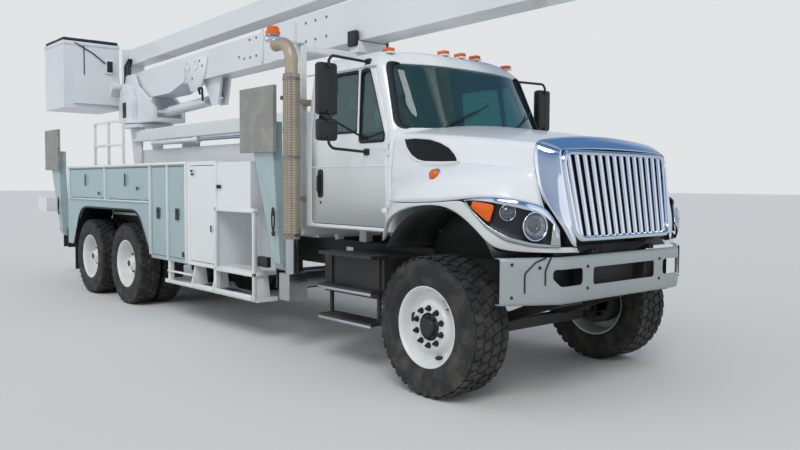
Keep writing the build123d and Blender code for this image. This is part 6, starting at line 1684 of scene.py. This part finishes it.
LEGS = (("front", -2.33), ("rear", -8.85))  # name, forwards of the leg's middle
RING_HEIGHT, RING_HALF_WIDTH, RING_HALF_HEIGHT = 1.3, 0.024, 0.11
for side, side_name in SIDES:
    for name, middle in LEGS:
        body = f"outrigger_{name}_{side_name}"
        bm = bmesh.new()
        ring = [(middle + RING_HALF_WIDTH * cos(turn), 1.243, RING_HEIGHT + RING_HALF_HEIGHT * sin(turn))
                for turn in map(radians, range(0, 360, 20))]
        ring = [sided(place, side) for place in ring]
        add_pipe(bm, ring + [ring[0]], 0.008, segments=8)
        for up in (RING_HEIGHT + 0.06, RING_HEIGHT - 0.14):
            ends = [sided((middle, outward, up), side) for outward in (1.236, 1.246)]
            add_rod(bm, *ends, 0.03, segments=20, width=0.003)
        piece(f"{body}_fittings", bm, body, PLASTIC)

# Booms: weldments, bolts, caps, hoses and the levelling tube


def line_at(start, end, forward):
    """Height of a line from (forwards, up) to (forwards, up) at one place."""
    return start[1] + (end[1] - start[1]) * (forward - start[0]) / (end[0] - start[0])


BOOM_PLATES = (
    # outline: forwards and up
    ((-6.56, 3.43), (-5.78, 3.445), (-5.86, 3.2), (-6.02, 2.96), (-6.3, 2.96), (-6.48, 3.2)),
    ((-8.2, 3.4), (-7.15, 3.425), (-7.15, 3.2), (-7.4, 3.15), (-7.9, 3.12), (-8.2, 3.13)),
)
BOOM_STRAPS = (
    # low corner, high corner, edge rounding
    ((-4.352, 0.148, 3.16), (-4.312, 0.172, 3.585), 0.006),
    ((-3.575, 0.16, 3.205), (-3.545, 0.176, 3.56), 0.006),
)
BOSS_PROFILE = ((0.0, 0.05), (0.01, 0.052), (0.012, 0.078), (0.0, 0.08))
bm = bmesh.new()
for side in (RIGHT, LEFT):
    for outline in BOOM_PLATES:
        add_plate(bm, rounded(from_axle(outline), 0.05, 4), "y", side * 0.148, side * 0.168, 0.004)
    for forward, up in ((-6.39, 3.345), (-6.135, 3.34)):
        add_lathe(bm, BOSS_PROFILE, sided((forward, 0.166, up), side), (0, side, 0), 28)
    add_boxes(bm, BOOM_STRAPS, side)
piece("lower_boom_plates", bm, "lower_boom", BOOM)

bm = bmesh.new()
BOOM_BOLTS = (
    # forwards, up, how far out
    (-4.654, 3.49, 0.149), (-4.49, 3.495, 0.149), (-4.93, 3.3, 0.149), (-4.788, 3.262, 0.149),
    (-4.64, 3.262, 0.149), (-4.49, 3.268, 0.149), (-3.353, 3.5, 0.161), (-3.159, 3.505, 0.161),
    (-2.947, 3.51, 0.161), (-3.353, 3.29, 0.161), (-3.159, 3.293, 0.161), (-2.947, 3.297, 0.161),
    (-1.2, 3.6, 0.161), (-1.0, 3.604, 0.161), (-0.8, 3.608, 0.161),
    (-6.02, 3.38, 0.168), (-5.94, 3.3, 0.168), (-6.46, 3.3, 0.168), (-6.25, 3.15, 0.168),
)
for side in (RIGHT, LEFT):
    add_bolts(bm, [sided((a, c, b), side) for a, b, c in BOOM_BOLTS], (0, side, 0), 0.016, 0.011)
    rivets = [sided((-3.56, 0.176, 3.235 + 0.03 * index), side) for index in range(11)]
    add_bolts(bm, rivets, (0, side, 0), 0.006, 0.004)
piece("lower_boom_bolts", bm, "lower_boom", STEEL, "rod_chrome")

HOSE_HOOK = ((-5.99, 0.18, 2.9), (-5.99, 0.205, 2.985), (-5.88, 0.205, 2.985), (-5.88, 0.195, 2.8))
bm = bmesh.new()
add_pipe(bm, [sided(p, RIGHT) for p in HOSE_HOOK], 0.016, bend=0.03, segments=10)
for across in (0.06, 0.0, -0.06):
    run = [sided((forward, across, up)) for forward, up in ((-8.15, 3.46), (-7.95, 3.47), (-3.5, 3.585))]
    add_pipe(bm, run, 0.016, segments=8)
piece("boom_hoses", bm, "lower_boom", HOSE)

UPPER_LINE = ((-8.54, 3.605), (1.45, 3.835))
bm = bmesh.new()
for side in (RIGHT, LEFT):
    run = [sided((forward, 0.118, line_at(*UPPER_LINE, forward) + 0.014), side) for forward in (-8.0, 1.3)]
    add_pipe(bm, run, 0.017, segments=10)
for forward in (-7.62, -7.42, 1.05):
    low = line_at(*UPPER_LINE, forward)
    add_boxes(bm, (((forward - 0.012, -0.128, low - 0.006), (forward + 0.012, 0.128, low + 0.264), 0.004),))
piece("upper_boom_bands", bm, "upper_boom", BOOM)

bm = bmesh.new()
for across, reach in ((-0.15, 0.012), (-0.185, 0.016), (-0.222, 0.01), (-0.245, 0.014)):
    run = ((-8.58, across, 3.18), (-8.57 + reach, across, 3.35), (-8.578, across * 0.96, 3.56),
           (-8.56 + reach, across * 0.7, 3.7))
    add_pipe(bm, [sided(p) for p in run], 0.014, bend=0.1, segments=8)
piece("tip_hoses", bm, "upper_boom", HOSE)

# Turret housing

HOUSING = ((-8.56, 2.62), (-8.02, 2.62), (-8.02, 2.96), (-8.12, 3.18), (-8.29, 3.27), (-8.44, 3.2),
           (-8.56, 2.98))
HOUSING_RADII = (0.02, 0.02, 0.15, 0.15, 0.15, 0.15, 0.15)
housing, dark = bmesh.new(), bmesh.new()
for side in (RIGHT, LEFT):
    outline = rounded(from_axle(HOUSING), HOUSING_RADII, 5)
    add_plate(housing, outline, "y", side * 0.264, side * 0.35, 0.014, 3)
    add_boxes(dark, (((-8.4, 0.345, 2.7), (-8.25, 0.353, 2.95), 0.012, 3),), side)
    bolts = [sided((-8.5 + 0.065 * index, 0.35, 2.655), side) for index in range(7)]
    add_bolts(dark, bolts, (0, side, 0), 0.009, 0.006)
piece("turret_housing", housing, "turret", BOOM)
piece("turret_dark", dark, "turret", PLASTIC)

LINK_EYES = (
    # low corner, high corner, edge rounding
    ((-7.56, -0.245, 2.235), (-7.44, -0.185, 2.312), 0.01),
    ((-4.7, -0.245, 2.225), (-4.58, -0.185, 2.312), 0.01),
)
bm = bmesh.new()
add_rod(bm, sided((-7.5, -0.215, 2.27)), sided((-6.05, -0.215, 2.262)), 0.04, width=0.006)
add_rod(bm, sided((-6.12, -0.215, 2.262)), sided((-5.98, -0.215, 2.262)), 0.05, width=0.006)
add_boxes(bm, LINK_EYES)
piece("link_tube", bm, "elevator_link", WHITE)
bm = bmesh.new()
add_rod(bm, sided((-6.0, -0.215, 2.262)), sided((-4.66, -0.215, 2.256)), 0.022)
piece("link_rod", bm, "elevator_link", ROD)

# Bucket fittings and its cover

BUCKET_TRIM = (
    # low corner, high corner, edge rounding
    ((-8.762, -1.165, 3.868), (-8.748, -0.25, 3.922), 0.005),
    ((-9.705, -1.166, 3.868), (-8.75, -1.15, 3.922), 0.005),
    ((-8.762, -0.5, 3.44), (-8.736, -0.345, 3.69), 0.008),
)
BUCKET_DARK = (
    ((-8.74, -0.47, 3.47), (-8.732, -0.375, 3.65), 0.012, 3), ((-8.76, -0.84, 3.4), (-8.752, -0.826, 3.868)),
)
BUCKET_STRAP = ((-8.748, -0.985, 3.9), (-8.744, -0.7, 3.76), (-8.742, -0.48, 3.6))
fibre, dark = bmesh.new(), bmesh.new()
add_boxes(fibre, BUCKET_TRIM)
add_boxes(dark, BUCKET_DARK)
add_pipe(dark, [sided(p) for p in BUCKET_STRAP], 0.009, segments=8)
piece("bucket_fittings", fibre, "platform", FIBRE)
piece("bucket_dark", dark, "platform", PLASTIC)

COVER_LOW, COVER_HIGH = sided((-9.71, -1.168, 3.929)), sided((-8.75, -0.248, 3.983))
COVER_HEM = 0.045
COVER_FLAT, COVER_SPREAD = 0.91, 0.955  # share of the sheet that lies flat, share of the bucket it spans
bm = bmesh.new()
bmesh.ops.create_grid(bm, x_segments=44, y_segments=42, size=1.0)
size, middle = (COVER_HIGH - COVER_LOW) / 2, (COVER_HIGH + COVER_LOW) / 2
for vert in bm.verts:
    u, v = vert.co.x, vert.co.y
    reach = max(abs(u), abs(v))
    hang = max(0.0, (reach - COVER_FLAT) / (1 - COVER_FLAT))
    flat = 1.0 if hang == 0 else COVER_FLAT / reach
    sway = noise.noise(Vector((u * 2.2, v * 2.2, 0.3))) * 0.004
    fold = noise.noise(Vector((u * 7.0, v * 7.0, 1.7))) * 0.0022
    spread = COVER_SPREAD + (0.01 * noise.noise(Vector((u * 5, v * 5, 4.0))) if hang else 0.0)
    vert.co.x = middle.x + size.x * u * flat * spread / COVER_FLAT
    vert.co.y = middle.y + size.y * v * flat * spread / COVER_FLAT
    vert.co.z = COVER_HIGH.z - 0.006 - COVER_HEM * hang - 0.008 * (1 - u * u) * (1 - v * v) + sway + fold
cover = piece("bucket_cover_cloth", bm, "platform", COVER, replaces=("bucket_cover",), levels=1)
thicken(cover, 0.0016, 0.0)


# Camera, light and floor

CAMERA_PLACE = (8.429, -5.284, 1.649)
CAMERA_YAW = radians(139.108)
CAMERA_PITCH = -0.0526
CAMERA_ROLL = 0.0053

camera_data = bpy.data.cameras.new("camera")
camera_data.lens = 34.97
camera_data.sensor_width = 36
camera = bpy.data.objects.new("camera", camera_data)
bpy.context.scene.collection.objects.link(camera)
forward = Vector((
    cos(CAMERA_YAW) * cos(CAMERA_PITCH), sin(CAMERA_YAW) * cos(CAMERA_PITCH), sin(CAMERA_PITCH),
))
level_right = Vector((sin(CAMERA_YAW), -cos(CAMERA_YAW), 0))
upward = level_right.cross(forward)
right = level_right * cos(CAMERA_ROLL) + upward * sin(CAMERA_ROLL)
above = upward * cos(CAMERA_ROLL) - level_right * sin(CAMERA_ROLL)
turned = Matrix((right, above, -forward)).transposed().to_4x4()
camera.matrix_world = Matrix.Translation(CAMERA_PLACE) @ turned
bpy.context.scene.camera = camera

floor_mesh = bmesh.new()
bmesh.ops.create_grid(floor_mesh, x_segments=1, y_segments=1, size=150)
floor_shape = surface(floor_mesh)
floor = bpy.data.objects.new("floor", floor_shape)
bpy.context.scene.collection.objects.link(floor)
floor_finish = bpy.data.materials.new("floor_paint")
floor_finish.use_nodes = True
floor_graph = Graph(floor_finish.node_tree)
floor_grain = floor_graph.add("ShaderNodeTexNoise", {"Scale": 0.6, "Detail": 5.0})
floor_graph.set(
    floor_graph.tree.nodes["Principled BSDF"], "Base Color",
    floor_graph.mix(floor_grain.outputs[0], linear(216, 216, 214), linear(224, 224, 222)),
)
floor_graph.tree.nodes["Principled BSDF"].inputs["Roughness"].default_value = 0.8
floor_shape.materials.append(floor_finish)

SUNS = (
    # name, direction it shines from, width in degrees, strength
    ("key", (1.0, -1.1, 1.5), 26, 1.25),
    ("fill", (-0.5, -1.2, 0.7), 70, 0.55),
    ("front", (1.5, 0.3, 0.5), 60, 0.4),
)
for name, place, width, strength in SUNS:
    lamp = bpy.data.lights.new(name, "SUN")
    lamp.angle = radians(width)
    lamp.energy = strength
    holder = bpy.data.objects.new(name, lamp)
    holder.rotation_euler = (-Vector(place)).to_track_quat("-Z", "Y").to_euler()
    bpy.context.scene.collection.objects.link(holder)

world = bpy.data.worlds.new("studio")
bpy.context.scene.world = world
world.use_nodes = True
sky = Graph(world.node_tree)
ambient = sky.tree.nodes["Background"]
heading = sky.add("ShaderNodeTexCoord").outputs["Generated"]
tilt = sky.add("ShaderNodeSeparateXYZ", {0: heading}).outputs[2]
shade = sky.mix(sky.ramp(tilt, 0.0, 0.7), linear(234, 235, 236), linear(214, 220, 227))
sky.set(ambient, "Color", shade)
ambient.inputs["Strength"].default_value = 0.6
backdrop = sky.add("ShaderNodeBackground", {"Color": linear(226, 228, 229), "Strength": 1.0})
rays = sky.add("ShaderNodeLightPath").outputs
mirrored = sky.add("ShaderNodeBackground", {"Strength": 0.9})
sky.set(mirrored, "Color", sky.mix(sky.ramp(tilt, 0.04, 0.5), linear(236, 238, 240), linear(96, 140, 192)))
reflected, chooser = sky.add("ShaderNodeMixShader"), sky.add("ShaderNodeMixShader")
for mixer, ray, missed, met in (
    (reflected, "Is Glossy Ray", ambient, mirrored), (chooser, "Is Camera Ray", reflected, backdrop),
):
    for index, output in enumerate((rays[ray], missed.outputs[0], met.outputs[0])):
        sky.set(mixer, index, output)
sky.set(sky.tree.nodes["World Output"], "Surface", chooser.outputs[0])

bpy.context.scene.view_settings.view_transform = "Standard"

bpy.context.view_layer.update()
